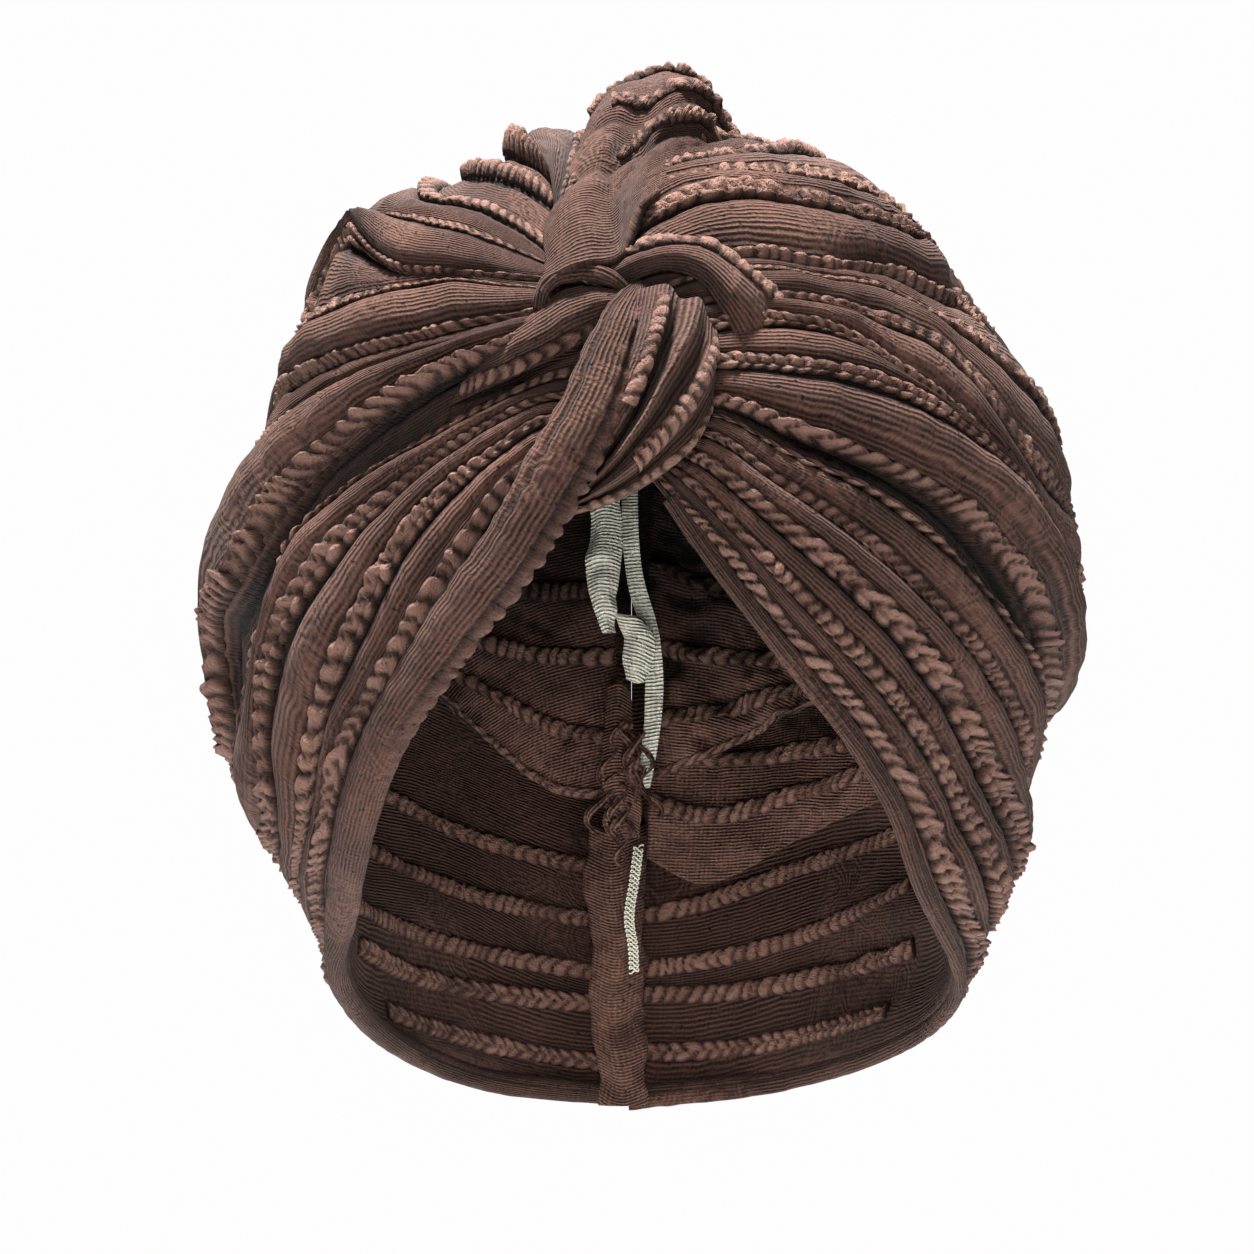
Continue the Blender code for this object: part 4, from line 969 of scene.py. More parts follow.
def knit(name, deep, lit, puff_highlight, rib_pitch, cross_share=0.04, swirls=0.6, relief=0.0007):
    """Ribbed jersey: ribs along the cloth, a broken cross weave, swirling crepe patches and puffs, with a
    painted highlight on the puffs and painted shade in rib grooves, pits, creases and inside.
    """
    paint = bpy.data.materials.new(name)
    paint.use_nodes = True
    tree = paint.node_tree
    shader = tree.nodes["Principled BSDF"]
    place = tree.nodes.new("ShaderNodeUVMap")
    place.uv_map = "cloth"
    uv = place.outputs[0]
    split = tree.nodes.new("ShaderNodeSeparateXYZ")
    join(tree, uv, split.inputs[0])
    per_mm = 1 / UV_PER_MM
    along_mm = math_node(tree, "MULTIPLY", split.outputs[0], per_mm)
    across_mm = math_node(tree, "MULTIPLY", split.outputs[1], per_mm)
    raised = attribute_node(tree, "raised")
    inside = attribute_node(tree, "inside")
    painted_shade = attribute_node(tree, "painted_shade")
    fold = range_node(tree, raised, 0.0, 0.12)
    flat = math_node(tree, "SUBTRACT", 1.0, fold)

    # Ribs along the cloth and broken lines across it
    bend = noise_node(tree, uv, per_mm / 6.0, 3.0)
    rib_phase = math_node(
        tree, "MULTIPLY_ADD", across_mm, 2 * math.pi / rib_pitch, math_node(tree, "MULTIPLY", bend, 7.0)
    )
    rib = math_node(tree, "SINE", rib_phase)
    broken = noise_node(tree, uv, per_mm / 1.3, 2.0, 0.6)
    cross_phase = math_node(
        tree, "MULTIPLY_ADD", along_mm, 2 * math.pi / 1.25, math_node(tree, "MULTIPLY", broken, 7.0)
    )
    cross = math_node(tree, "SINE", cross_phase)
    loose = range_node(tree, noise_node(tree, uv, per_mm / 5.0, 1.0), 0.42, 0.6)
    cross = math_node(tree, "MULTIPLY", cross, math_node(tree, "MULTIPLY_ADD", loose, 0.26, cross_share))
    gone = range_node(tree, noise_node(tree, uv, per_mm / 2.2, 2.0), 0.3, 0.6, 0.35, 1.0)
    rib = math_node(tree, "MULTIPLY", rib, gone)

    # Swirling crepe in patches
    curl = noise_node(tree, uv, per_mm / 11.0, 1.5, 0.4)
    whorl = math_node(tree, "SINE", math_node(tree, "MULTIPLY", curl, 78.0))
    patch = range_node(tree, noise_node(tree, uv, per_mm / 34.0, 0.0), 0.5, 0.6, 0.0, swirls)
    ribs = math_node(tree, "MULTIPLY", rib, math_node(tree, "SUBTRACT", 1.0, patch))
    ribs = math_node(tree, "MULTIPLY_ADD", whorl, math_node(tree, "MULTIPLY", patch, 0.7), ribs)
    woven = math_node(tree, "MULTIPLY", math_node(tree, "MULTIPLY_ADD", cross, 0.8, ribs), flat)

    # Crinkles on the puffs, fine yarn everywhere, and a few deep pits
    crinkle = noise_node(tree, uv, per_mm / 2.0, 4.0, 0.62)
    fine = noise_node(tree, uv, per_mm / 0.55, 2.0, 0.6)
    pit = range_node(tree, noise_node(tree, uv, per_mm / 1.6, 1.0), 0.24, 0.33, 1.0, 0.0)
    height = math_node(tree, "MULTIPLY_ADD", woven, 0.4, math_node(tree, "MULTIPLY", fine, 0.75))
    height = math_node(tree, "MULTIPLY_ADD", math_node(tree, "MULTIPLY", crinkle, fold), 2.4, height)
    height = math_node(tree, "MULTIPLY_ADD", pit, -0.8, height)
    bump = tree.nodes.new("ShaderNodeBump")
    bump.inputs["Strength"].default_value = 1.0
    bump.inputs["Distance"].default_value = relief
    join(tree, height, bump.inputs["Height"])
    join(tree, bump.outputs[0], shader.inputs["Normal"])

    # Colour: painted light on high yarn, painted shade in rib grooves and pits, the cloth's own tone from
    # stain and yarn noise, then a painted highlight on the puffs and very dark painted shade in the creases
    # and inside
    stain = noise_node(tree, uv, per_mm / 26.0, 3.0, 0.55)
    # Rib tops painted lighter and rib grooves painted darker; stain and fine yarn noise are the cloth's own
    # tone
    tone = math_node(tree, "MULTIPLY_ADD", woven, 0.3, range_node(tree, stain, 0.3, 0.7, 0.4, 0.66))
    tone = math_node(tree, "MULTIPLY_ADD", math_node(tree, "SUBTRACT", fine, 0.5), 0.6, tone)
    # Painted shade in the pits
    tone = math_node(tree, "MULTIPLY_ADD", pit, -0.35, tone)
    colour = mix_node(tree, range_node(tree, tone, 0.0, 1.0), deep, lit)
    # Painted highlight: the highest parts of the puffs take the lighter puff colour
    crest = math_node(tree, "MULTIPLY", fold, range_node(tree, raised, 0.5, 1.0, 0.0, 0.6))
    colour = mix_node(tree, crest, colour, puff_highlight)
    # Painted shade: creases, shadow lines under the rows and cloth inside go towards a very dark brown
    painted_shade_colour = tuple(value * 0.25 for value in deep[:3]) + (1,)
    shade = math_node(tree, "MULTIPLY_ADD", inside, 0.1, math_node(tree, "MULTIPLY", painted_shade, 0.92))
    colour = mix_node(tree, shade, colour, painted_shade_colour)
    join(tree, colour, shader.inputs["Base Color"])
    gloss = range_node(tree, math_node(tree, "MULTIPLY_ADD", raised, 0.5, fine), 0.2, 1.3, 0.9, 0.66)
    join(tree, gloss, shader.inputs["Roughness"])
    shader.inputs["Specular IOR Level"].default_value = 0.14
    shader.inputs["Sheen Weight"].default_value = 0.03
    shader.inputs["Sheen Roughness"].default_value = 0.5
    return paint


def sample(surface, row, column):
    """Places between the points of a grid, at fractional rows and columns."""
    rows, columns = surface.shape[:2]
    row, column = np.clip(row, 0, rows - 1.001), np.clip(column, 0, columns - 1.001)
    i, j = row.astype(int), column.astype(int)
    a, b = (row - i)[..., None], (column - j)[..., None]
    flat = surface.reshape(rows, columns, -1)
    read = (
        flat[i, j] * (1 - a) * (1 - b)
        + flat[i + 1, j] * a * (1 - b)
        + flat[i, j + 1] * (1 - a) * b
        + flat[i + 1, j + 1] * a * b
    )
    return read.reshape(row.shape + surface.shape[2:])


def sewn_row(shape, surface, normal, path, by_rows, half, kind, size, seed, count, gain=1.0):
    """A puckered row over a surface, along a path of (row, column) shares."""
    scale = np.array(surface.shape[:2]) - 1
    path = through(np.array(path, float), count) * scale
    row, column = path.T
    if by_rows:
        ahead, behind = sample(surface, row + 0.5, column), sample(surface, row - 0.5, column)
    else:
        ahead, behind = sample(surface, row, column + 0.5), sample(surface, row, column - 0.5)
    step = np.linalg.norm(ahead - behind, axis=-1)
    reach = half / np.maximum(step, 0.05)
    c_at = np.linspace(-1, 1, 7)
    base, up = [], []
    for c in c_at:
        at = (row + c * reach, column) if by_rows else (row, column + c * reach)
        base.append(sample(surface, *at))
        up.append(sample(normal, *at))
    base, up = np.array(base), unit(np.array(up))
    over = unit(np.gradient(base, axis=0))
    width = np.full(count, 2 * half)
    strip_on(shape, base, up, over, c_at, width, kind, size, seed, gain)


def rope_rings(path, sideways, outwards, sides, change):
    """Rings round a path; change(angle, run) gives each point's factors sideways and outwards."""
    angle = -np.pi / 2 + np.linspace(0, 2 * np.pi, sides, endpoint=False)
    run = running(path)
    grow, raised, painted_shade = change(angle[None, :], run[:, None])
    rings = (
        path[:, None]
        + sideways[:, None] * (np.cos(angle)[None] * grow)[..., None]
        + outwards[:, None] * (np.sin(angle)[None] * grow)[..., None]
    )
    size = np.linalg.norm(sideways, axis=1)[:, None]
    cloth = np.stack(np.broadcast_arrays(run[:, None], (angle + np.pi / 2)[None] * np.median(size)), axis=-1)
    return rings, cloth, raised, painted_shade


def rope_piece(name, node, paint, *rope):
    shape = Shape()
    shape.rope(*rope_rings(*rope))
    return shape.make(name, paint, "turban_cloth", node)


def hem_path(side, front, back, wide, thick, lift, count, ahead_until=0.0):
    """Path and spread of a rolled edge; sizes are (share of its length, value) pairs."""
    places = [seen(x, z) for x, z in front] + beyond(side, back)
    path = through(seated(np.array(places)), count)
    run = np.linspace(0, 1, count)
    normal = outward(path)
    ahead = np.clip((ahead_until - run) / 0.1, 0, 1)[:, None]
    facing = unit(normal * (1 - ahead) + np.array([0.0, -1.0, 0.0]) * ahead)
    sideways = unit(np.cross(np.gradient(path, axis=0), facing))
    wide, thick, lift = (np.interp(run, *np.array(pairs, float).T)[:, None] for pairs in (wide, thick, lift))
    path = path + facing * lift
    path[-1, 0] = -0.8 * side
    return path, sideways * wide, facing * thick


def make_strand(paint):
    path, sideways, outwards = hem_path(
        side=-1,
        front=LEFT_HEM,
        back=LEFT_HEM_BACK,
        wide=(
            (0, 0.5), (0.004, 1.7), (0.01, 2.9), (0.02, 4.1), (0.05, 5.5), (0.12, 6.6),
            (0.2, 6.2), (0.3, 5.0), (0.5, 4.3), (0.7, 3.3), (1, 2.6),
        ),
        thick=(
            (0, 0.5), (0.004, 1.3), (0.012, 2.4), (0.03, 3.8),
            (0.1, 4.8), (0.3, 3.8), (0.5, 2.8), (1, 1.7),
        ),
        lift=(
            (0, 4.5), (0.03, 9.0), (0.08, 12.0), (0.16, 10.5),
            (0.26, 5.0), (0.4, 1.5), (0.6, 0.0), (1, -1.0),
        ),
        count=390,
        ahead_until=0.3,
    )

    def change(angle, run):
        share = run / run.max()
        right = np.clip(-np.cos(angle), 0, 1) ** 3
        upper = np.clip((0.36 - share) / 0.08, 0, 1)
        phase = run / 4.4 + 0.5 * value_noise(run / 7, run * 0, 5)
        part = (phase + 0.1 * angle) % 1
        puff = np.sin(np.pi * part**0.8) ** 0.6
        furrow = swell(angle, 2.3, 0.13) * upper
        crease = swell(angle, 0.8, 0.12) * np.clip((0.22 - share) / 0.05, 0, 1)
        wave = value_noise(run / 11, angle * 1.5 + 3, 6) * 0.06
        wave = wave + value_noise(run / 4, angle * 2.5, 7) * 0.035
        dent = 0.05 * value_noise(run / 1.6, angle * 1.1, 17) * (1 - right)
        edge_row = swell(np.abs(angle - np.pi / 2), 1.25, 0.3) * np.clip((share - 0.3) / 0.05, 0, 1)
        grow = 1 + np.abs(np.cos(angle)) ** 4 * 0.05 + wave + dent + right * upper * (puff - 0.6) * 0.26
        grow = grow - furrow * 0.2 - crease * 0.14 - edge_row * 0.03
        # Painted shade in the furrow, the crease and between the puffs; the raised value gives the puffs
        # their painted highlight
        painted_shade = np.clip(furrow + 0.7 * crease + right * upper * (0.8 - puff), 0, 1)
        return grow, right * upper * puff * 0.8 + 0 * angle, painted_shade

    return rope_piece("left_hem_roll_cloth", "left_hem_roll", paint, path, sideways, outwards, 46, change)


def make_right_hem(paint):
    path, sideways, outwards = hem_path(
        side=1,
        front=RIGHT_HEM,
        back=RIGHT_HEM_BACK,
        wide=((0, 1.7), (0.5, 2.3), (1, 2.6)),
        thick=((0, 1.5), (1, 1.7)),
        lift=((0, 0.9), (1, -0.8)),
        count=420,
    )

    def change(angle, run):
        stitch = 0.5 + 0.5 * np.sin(2 * np.pi * run / 1.7)
        first = swell(angle, 1.15, 0.12)
        second = swell(angle, 1.95, 0.12)
        seam = (first + second) * (0.14 + 0.12 * stitch)
        pull = 0.07 * value_noise(run / 3.1, angle * 1.4, 8)
        # The third value is painted shade in the two stitched grooves
        return 1 + np.abs(np.cos(angle)) ** 6 * 0.12 - seam + pull, 0.0 * seam, np.clip(seam * 3, 0, 1)

    return rope_piece("right_hem_cloth", "right_hem", paint, path, sideways, outwards, 32, change)


def make_collar(paint):
    places = np.array([at_depth(x, z, loop_base(x, z) - 6.5) for x, z in COLLAR])
    path = through(places, 90)
    run = running(path)
    thin = (0.7 + 0.3 * np.sin(np.pi * run / run[-1]))[:, None]
    path[:, 1] += 7.0 * (1 - np.sin(np.pi * (0.06 + 0.88 * run / run[-1]))) ** 2
    outwards = np.tile([0.0, -1.0, 0.0], (90, 1)) * 2.4 * thin
    sideways = unit(np.cross(np.gradient(path, axis=0), outwards)) * 1.9 * thin

    def change(angle, run):
        wave = 0.12 * value_noise(run / 2.2, angle * 1.2 + 4, 9)
        groove = swell(angle, 1.9, 0.2)
        # The third value is painted shade in the groove
        return 1 + wave - 0.18 * groove, 0 * wave, 0.5 * groove + 0 * wave

    return rope_piece("knot_collar_cloth", "knot_collar", paint, path, sideways, outwards, 30, change)


def lengths(grid):
    """Millimetres along the rows of a grid and along its columns."""
    return running(grid), running(grid.swapaxes(0, 1)).swapaxes(0, 1)


def facing_of(grid):
    """The direction of a surface at each of its points."""
    return unit(np.cross(np.gradient(grid, axis=1), np.gradient(grid, axis=0)))


def fine_patch(rows, base, count_along, count_across, gain, ends, seed):
    """Pleated cloth in front of the wrap: its surface, its cloth places and how far it lies under its
    neighbours, which sets its painted shade.
    """
    lines = []
    for *places, height in rows:
        spots = [at_depth(x, z, base(x, z)) for x, z in places]
        lines.append(np.column_stack([through(spots, count_along), np.full(count_along, height)]))
    keys = np.arange(len(rows), dtype=float)
    at = np.linspace(0, keys[-1], count_across)
    grid = smooth_rows(keys, np.array(lines), at)
    middle = grid[..., 3].mean()
    run = np.linspace(0, 1, count_along)
    low, high = ends
    start = low + (1 - low) * np.clip(run / 0.2, 0, 1) ** 0.5
    finish = high + (1 - high) * np.clip((1 - run) / 0.3, 0, 1) ** 0.6
    lift = (middle + (grid[..., 3] - middle) * gain) * (start * finish)[None, :]
    surface = grid[..., :3]
    length, wide = lengths(surface)
    coarse, fine = value_noise(length / 6, wide / 3, seed), value_noise(length / 2, wide / 2, seed + 1)
    lift = lift + (0.4 * coarse + 0.18 * fine)
    painted_shade = sunk_places(lift, 40, 1.6)
    front = surface + np.array([0.0, -1.0, 0.0]) * lift[..., None]
    cloth = np.stack([length, np.broadcast_to(wide.mean(axis=1, keepdims=True), wide.shape)], axis=-1)
    normal = facing_of(front)
    normal = normal * np.where(normal[..., 1:2] > 0, -1, 1)
    return surface, front, cloth, painted_shade, normal


def pleated_piece(name, node, rows, base, counts, gain, ends, deep, sewn, seed, paint):
    """A pleated patch with its puckered rows: (line, half width, kind, size, from, to)."""
    surface, front, cloth, painted_shade, normal = fine_patch(rows, base, *counts, gain, ends, seed)
    shape = Shape()
    for line, half, kind, size, begin, end in sewn:
        share = line / (len(rows) - 1)
        path = [(share, t) for t in np.linspace(begin, end, 5)]
        count = max(int((end - begin) * cloth[..., 0].max() / 0.42), 30)
        sewn_row(shape, front, normal, path, True, half, kind, size, seed + int(10 * line), count)
    skip = (slice(None, None, 3), slice(None, None, 3))
    back = (surface + np.array([0.0, deep, 0.0]))[skip]
    # Painted shade in the hollows of the front, and half painted shade on the back
    outside = shape.grid(front, cloth, 0.0, painted_shade)
    within = shape.grid(back, cloth[skip], 0.0, 0.5)
    shape.close(outside, within)
    return shape.make(name, paint, "turban_cloth", node)


def fine_sheet(rows, count_along, count_across, on_wall=False):
    rows = np.array(rows, float)
    if on_wall:
        rows[0] = seated(rows[0])
    lines = np.array([through(row, count_along) for row in rows])
    keys = np.arange(len(rows), dtype=float)
    grid = smooth_rows(keys, lines, np.linspace(0, keys[-1], count_across))
    return grid, facing_of(grid), *lengths(grid)


def make_peak(paint):
    rows = [(knot_end, *row) for knot_end, row in zip(PEAK_KNOT_ENDS, PEAK_RIBS)]
    grid, normal, length, wide = fine_sheet(rows, 130, 100)
    flip = -1 if normal[50, 65] @ np.array([0.0, -0.6, 0.8]) < 0 else 1
    share = np.linspace(0, 1, 130)[None, :] + 0 * wide
    lift = 0.6 * value_noise(length / 9, wide / 7, 41) + 0.25 * value_noise(length / 3.5, wide / 3, 42)
    for place, depth in PEAK_HOLLOWS:
        lift = lift - depth * swell(share, place, 0.03)
    cloth = np.stack([wide, length.mean(axis=0)[None, :] + 0 * wide], axis=-1)
    outer = grid + normal * flip * (WALL / 2 + lift)[..., None]
    inner = (grid - normal * flip * WALL / 2)[::3, ::3]
    shape = Shape()
    for place, kind, size, begin, end in PEAK_SEWN:
        path = [(t, place) for t in np.linspace(begin, end, 6)]
        sewn_row(shape, outer, normal * flip, path, False, 2.5, kind, size, int(100 * place), 190)
    # Painted shade in the hollows of the outer face, and on the inner face
    outside = shape.grid(outer, cloth, 0.0, sunk_places(lift.T, 12, 1.6).T)
    within = shape.grid(inner, cloth[::3, ::3], 0.0, 0.6, 1.0)
    shape.close(outside, within)
    return shape.make("crown_peak_cloth", paint, "turban_cloth", "crown_peak")


def make_sheet(
    name, rows, columns, rows_up, thick, crumple, sewn, on_wall, paint, slot, node, seed, hem=False
):
    """A sheet that hangs inside; sewn rows are (share at its start, share at its end, size)."""
    grid, normal, length, wide = fine_sheet(rows, columns, rows_up, on_wall)
    towards = -1 if normal[rows_up // 2, columns // 2, 1] > 0 else 1
    coarse = value_noise(length / 10, wide / 7, seed)
    fine = value_noise(length / 3.4, wide / 3.4, seed + 1)
    lift = crumple * (coarse + 0.5 * fine)
    front = grid + normal * towards * (thick / 2 + lift)[..., None]
    back = (grid + normal * towards * (lift * 0.6 - thick / 2)[..., None])[::2, ::2]
    cloth = np.stack([length, wide], axis=-1)
    shape = Shape()
    count = int(length.max() / 0.6)
    for begin, end, size in sewn:
        path = [(begin + (end - begin) * t, t) for t in np.linspace(0.01, 0.99, 5)]
        own_seed = seed + int(100 * begin)
        sewn_row(shape, front, normal * towards, path, True, 2.1, "leaf", size, own_seed, count, 0.75)
    if hem:
        path = [(0.985, t) for t in np.linspace(0.0, 1.0, 5)]
        sewn_row(shape, front, normal * towards, path, True, 1.3, "knob", 0.6, seed + 9, count, 0.8)
    # Painted shade in the hollows of the front and slightly all over it, and more on the back
    outside = shape.grid(front, cloth, 0.0, sunk_places(lift, 10, 1.5), 0.5)
    within = shape.grid(back, cloth[::2, ::2], 0.0, 0.3, 1.0)
    shape.close(outside, within)
    if slot == "inner_cloth":
        shape.dim_upwards()
    return shape.make(name, paint, slot, node)


def from_photo(px, py):
    """A front-view place from a pixel of the photograph."""
    return (px - PHOTO_MIDDLE[0]) * MM_PER_PIXEL, EYE_HEIGHT + (PHOTO_MIDDLE[1] - py) * MM_PER_PIXEL


def make_back_rows(name, node, pixel_rows, wall_points, wall_normal, paint, seed):
    """Flat zigzag rows on the inside of the back, laid on the wing's inner skin."""
    shape = Shape()
    skin = wall_points.reshape(-1, 3)
    for number, (pixels, half, gain) in enumerate(pixel_rows):
        places = seated(np.array([seen(*from_photo(px, py), back=True) for px, py in pixels]))
        path = through(places, 30)
        facing = -outward(path)
        over = unit(np.cross(np.gradient(path, axis=0), facing))
        over = over * np.where(over[:, 2:] > 0, -1, 1)
        c_at = np.linspace(-1, 1, 5)
        base = path[None] + over[None] * (c_at * half)[:, None, None]
        shift = base.reshape(-1, 3)
        near = np.array([skin[np.argmin(((skin - p) ** 2).sum(axis=1))] for p in shift])
        gap = ((near - shift) * np.tile(facing, (5, 1))).sum(axis=1).reshape(5, -1)
        gap = np.array([np.convolve(np.pad(line, 3, "edge"), np.ones(7) / 7, "valid") for line in gap])
        base = base + facing[None] * (gap + 0.15)[..., None]
        count = int(running(path)[-1] / 0.6)
        t, fine = np.linspace(0, 1, 30), np.linspace(0, 1, count)
        base = finer(base, t, fine)
        up = finer(np.broadcast_to(facing, base.shape[:1] + facing.shape), t, fine)
        over = finer(np.broadcast_to(over, base.shape[:1] + over.shape), t, fine)
        width = np.full(count, 2 * half)
        kind = "braid" if number > 2 else "leaf"
        strip_on(shape, base, up, over, c_at, width, kind, 0.9, seed + number, gain)
    # Painted shade on these rows, darker higher up inside
    shape.dim_upwards()
    return shape.make(name, paint, "inner_cloth", node)


def stitched_row(name, path, wide, pitch, wire, paint):
    """Overlock thread: one wire that goes round and round along a path."""
    run = running(path)
    turns = run[-1] / pitch
    t = np.linspace(0, 1, int(turns * 14))
    centre = np.stack([np.interp(t * run[-1], run, path[:, k]) for k in range(3)], axis=1)
    phase = 2 * np.pi * turns * t
    centre[:, 0] += wide * np.cos(phase)
    centre[:, 2] += 0.45 * pitch * np.sin(2 * phase)
    centre[:, 1] += 0.28 * np.sin(phase)
    ahead = np.tile([0.0, -1.0, 0.0], (len(centre), 1))
    way = unit(np.gradient(centre, axis=0))
    side = unit(np.cross(way, ahead))
    up = np.cross(side, way)

    def change(angle, run):
        size = np.ones(np.broadcast_shapes(angle.shape, run.shape))
        return size, 0 * size, 0 * size

    shape = Shape()
    shape.rope(*rope_rings(centre, side * wire, up * wire, 7, change))
    return shape.make(name, paint, "pale_tape")


def wisps(name, starts, paint, slot, seed):
    """Short curled ends of cloth at a frayed edge, joined in one piece."""
    rng = np.random.default_rng(seed)
    shape = Shape()
    for x, y, z, length, thick in starts:
        steps = 26
        t = np.linspace(0, 1, steps)
        lean, turn, curl = rng.uniform(-0.3, 0.3), rng.uniform(0, 2 * np.pi), rng.uniform(0.5, 1.6)
        path = np.stack(
            [
                x + length * (lean * t + 0.12 * curl * np.sin(turn + 6 * t)),
                y - length * 0.14 * np.sin(turn + 4 * t) * t,
                z - length * t * (1 - 0.15 * t),
            ],
            axis=1,
        )
        way = unit(np.gradient(path, axis=0))
        twist = turn + 3.0 * curl * t
        side = unit(np.cross(way, np.array([0.0, -1.0, 0.0])))
        up = np.cross(side, way)
        broad = side * np.cos(twist)[:, None] + up * np.sin(twist)[:, None]
        narrow = np.cross(way, broad)
        size = thick * (1 - 0.6 * t**2)[:, None] + 0.05
        knobs = 1 + 0.25 * value_noise(t * length / 1.6, t * 0 + x, seed)[:, None]
        angle = np.linspace(0, 2 * np.pi, 9)[:-1]
        rings = (
            path[:, None]
            + broad[:, None] * (np.cos(angle)[None, :] * size * knobs * 1.9)[..., None]
            + narrow[:, None] * (np.sin(angle)[None, :] * size * knobs * 0.7)[..., None]
        )
        cloth = np.stack(np.broadcast_arrays(t[:, None] * length, angle[None] * thick), axis=-1)
        # The frayed ends are a little darker all over, through the painted shade value
        shape.rope(rings, cloth, 0.0, 0.15)
    return shape.make(name, paint, slot)


def light(name, place, target, size, power):
    lamp = bpy.data.lights.new(name, "AREA")
    lamp.shape = "DISK"
    lamp.size = size
    lamp.energy = power
    obj = bpy.data.objects.new(name, lamp)
    obj.location = place
    obj.rotation_euler = (Vector(target) - Vector(place)).to_track_quat("-Z", "Y").to_euler()
    bpy.context.scene.collection.objects.link(obj)


def studio():
    """Camera, soft lights, a white room and a pale floor."""
    camera = bpy.data.cameras.new("camera")
    camera.lens = CAMERA_LENS
    camera.sensor_width = CAMERA_SENSOR
    obj = bpy.data.objects.new("camera", camera)
    obj.location = (CAMERA_ASIDE, -EYE_DISTANCE * MM, EYE_HEIGHT * MM)
    obj.rotation_euler = (math.pi / 2, 0, 0)
    bpy.context.scene.collection.objects.link(obj)
    bpy.context.scene.camera = obj
    bpy.context.scene.view_settings.view_transform = "Standard"
    for name, place, target, size, share in LIGHTS:
        light(name, place, target, size, KEY_POWER * share)

    world = bpy.data.worlds.new("pale_room")
    bpy.context.scene.world = world
    world.use_nodes = True
    tree = world.node_tree
    tree.nodes.clear()
    seen_white = tree.nodes.new("ShaderNodeBackground")
    seen_white.inputs[0].default_value = (0.985, 0.985, 0.985, 1)
    seen_white.inputs[1].default_value = 1.0
    glow = tree.nodes.new("ShaderNodeBackground")
    glow.inputs[0].default_value = (1, 0.99, 0.98, 1)
    glow.inputs[1].default_value = ROOM_LIGHT
    rays = tree.nodes.new("ShaderNodeLightPath")
    both = tree.nodes.new("ShaderNodeMixShader")
    end = tree.nodes.new("ShaderNodeOutputWorld")
    join(tree, rays.outputs["Is Camera Ray"], both.inputs[0])
    join(tree, glow.outputs[0], both.inputs[1])
    join(tree, seen_white.outputs[0], both.inputs[2])
    join(tree, both.outputs[0], end.inputs[0])

    mesh = bpy.data.meshes.new("floor")
    turns = np.linspace(0, 2 * np.pi, FLOOR_SIDES + 1)[:-1]
    rim = [(FLOOR_RADIUS * math.cos(a), FLOOR_RADIUS * math.sin(a), FLOOR_HEIGHT) for a in turns]
    mesh.from_pydata(rim, [], [tuple(range(FLOOR_SIDES))])
    paint = bpy.data.materials.new("pale_floor")
    paint.use_nodes = True
    shader = paint.node_tree.nodes["Principled BSDF"]
    shader.inputs["Base Color"].default_value = (0.86, 0.86, 0.86, 1)
    shader.inputs["Roughness"].default_value = 0.9
    mesh.materials.append(paint)
    floor = bpy.data.objects.new("floor", mesh)
    bpy.context.scene.collection.objects.link(floor)


# Front ends of the peak's ribs, tucked behind the collar and the loop.
PEAK_KNOT_ENDS = (
    (-17, -96, -26),
    (-13, -99, -24),
    (-8, -99, -22),
    (-2, -96, -20),
    (3, -84, -8),
    (13, -66, -3),
    (22, -46, 0),
)
# The pale strip as it falls to the right of the seam, the crumpled end of the pale tape beside
# it, the brown end next to it, and the foot of the seam's flap.
PALE_STRIP_FALL = (
    ((-2.5, 97, -47), (1.5, 97, -47)),
    ((-2.5, 87, -62), (1.5, 87, -62)),
    ((-1.5, 80, -82), (2.6, 79, -82)),
    ((2.6, 77, -100), (7.2, 76, -100)),
    ((3.4, 76, -118), (7.6, 75, -118)),
    ((1.2, 75, -136), (4.6, 74, -136)),
)
PALE_TAPE_END = (
    ((-3.5, 74, -93), (0, 72.5, -94), (2.5, 74, -96)),
    ((-2, 73.5, -99), (2, 71.5, -100), (5.2, 73.5, -101)),
    ((-2.2, 73.5, -105), (1.5, 71.5, -106), (4.6, 73.5, -107)),
    ((-1, 74, -109), (1.2, 73, -110), (3.2, 74, -110)),
)
TAILS_FALL = (
    ((-5.2, 75.6, -111), (-3, 73.5, -110), (-0.6, 75.3, -112)),
    ((-6.6, 74.8, -122), (-3.4, 72.6, -122), (0.4, 74.8, -122)),
    ((-6, 74.0, -136), (-3, 72, -136), (1.6, 74.0, -136)),
    ((-3, 75, -148), (-1, 73.4, -148), (2, 75, -148)),
)
SEAM_FOOT = ((-7.5, 82, -214.5), (-2.5, 79.5, -214.5), (1.5, 81, -214.5), (2.5, 93, -214.5))

# Puckered rows over the peak: share of its length, kind, size, first and last share across it.
PEAK_SEWN = (
    (0.665, "leaf", 1.0, 0.12, 0.98),
    (0.44, "leaf", 0.95, 0.3, 0.97),
    (0.285, "leaf", 0.85, 0.42, 0.86),
)
PEAK_HOLLOWS = ((0.385, 2.2), (0.235, 2.0), (0.6, 0.8))

# Puckered rows of the knot: line, half width, kind, size, where each begins and ends.
FAN_SEWN = (
    (1.0, 1.4, "leaf", 0.5, 0.05, 0.5),
    (5.0, 1.8, "leaf", 0.62, 0.02, 0.62),
    (7.0, 1.5, "leaf", 0.5, 0.1, 0.98),
)
LOOP_SEWN = ((0.45, 2.1, "leaf", 0.9, 0.0, 0.97),)
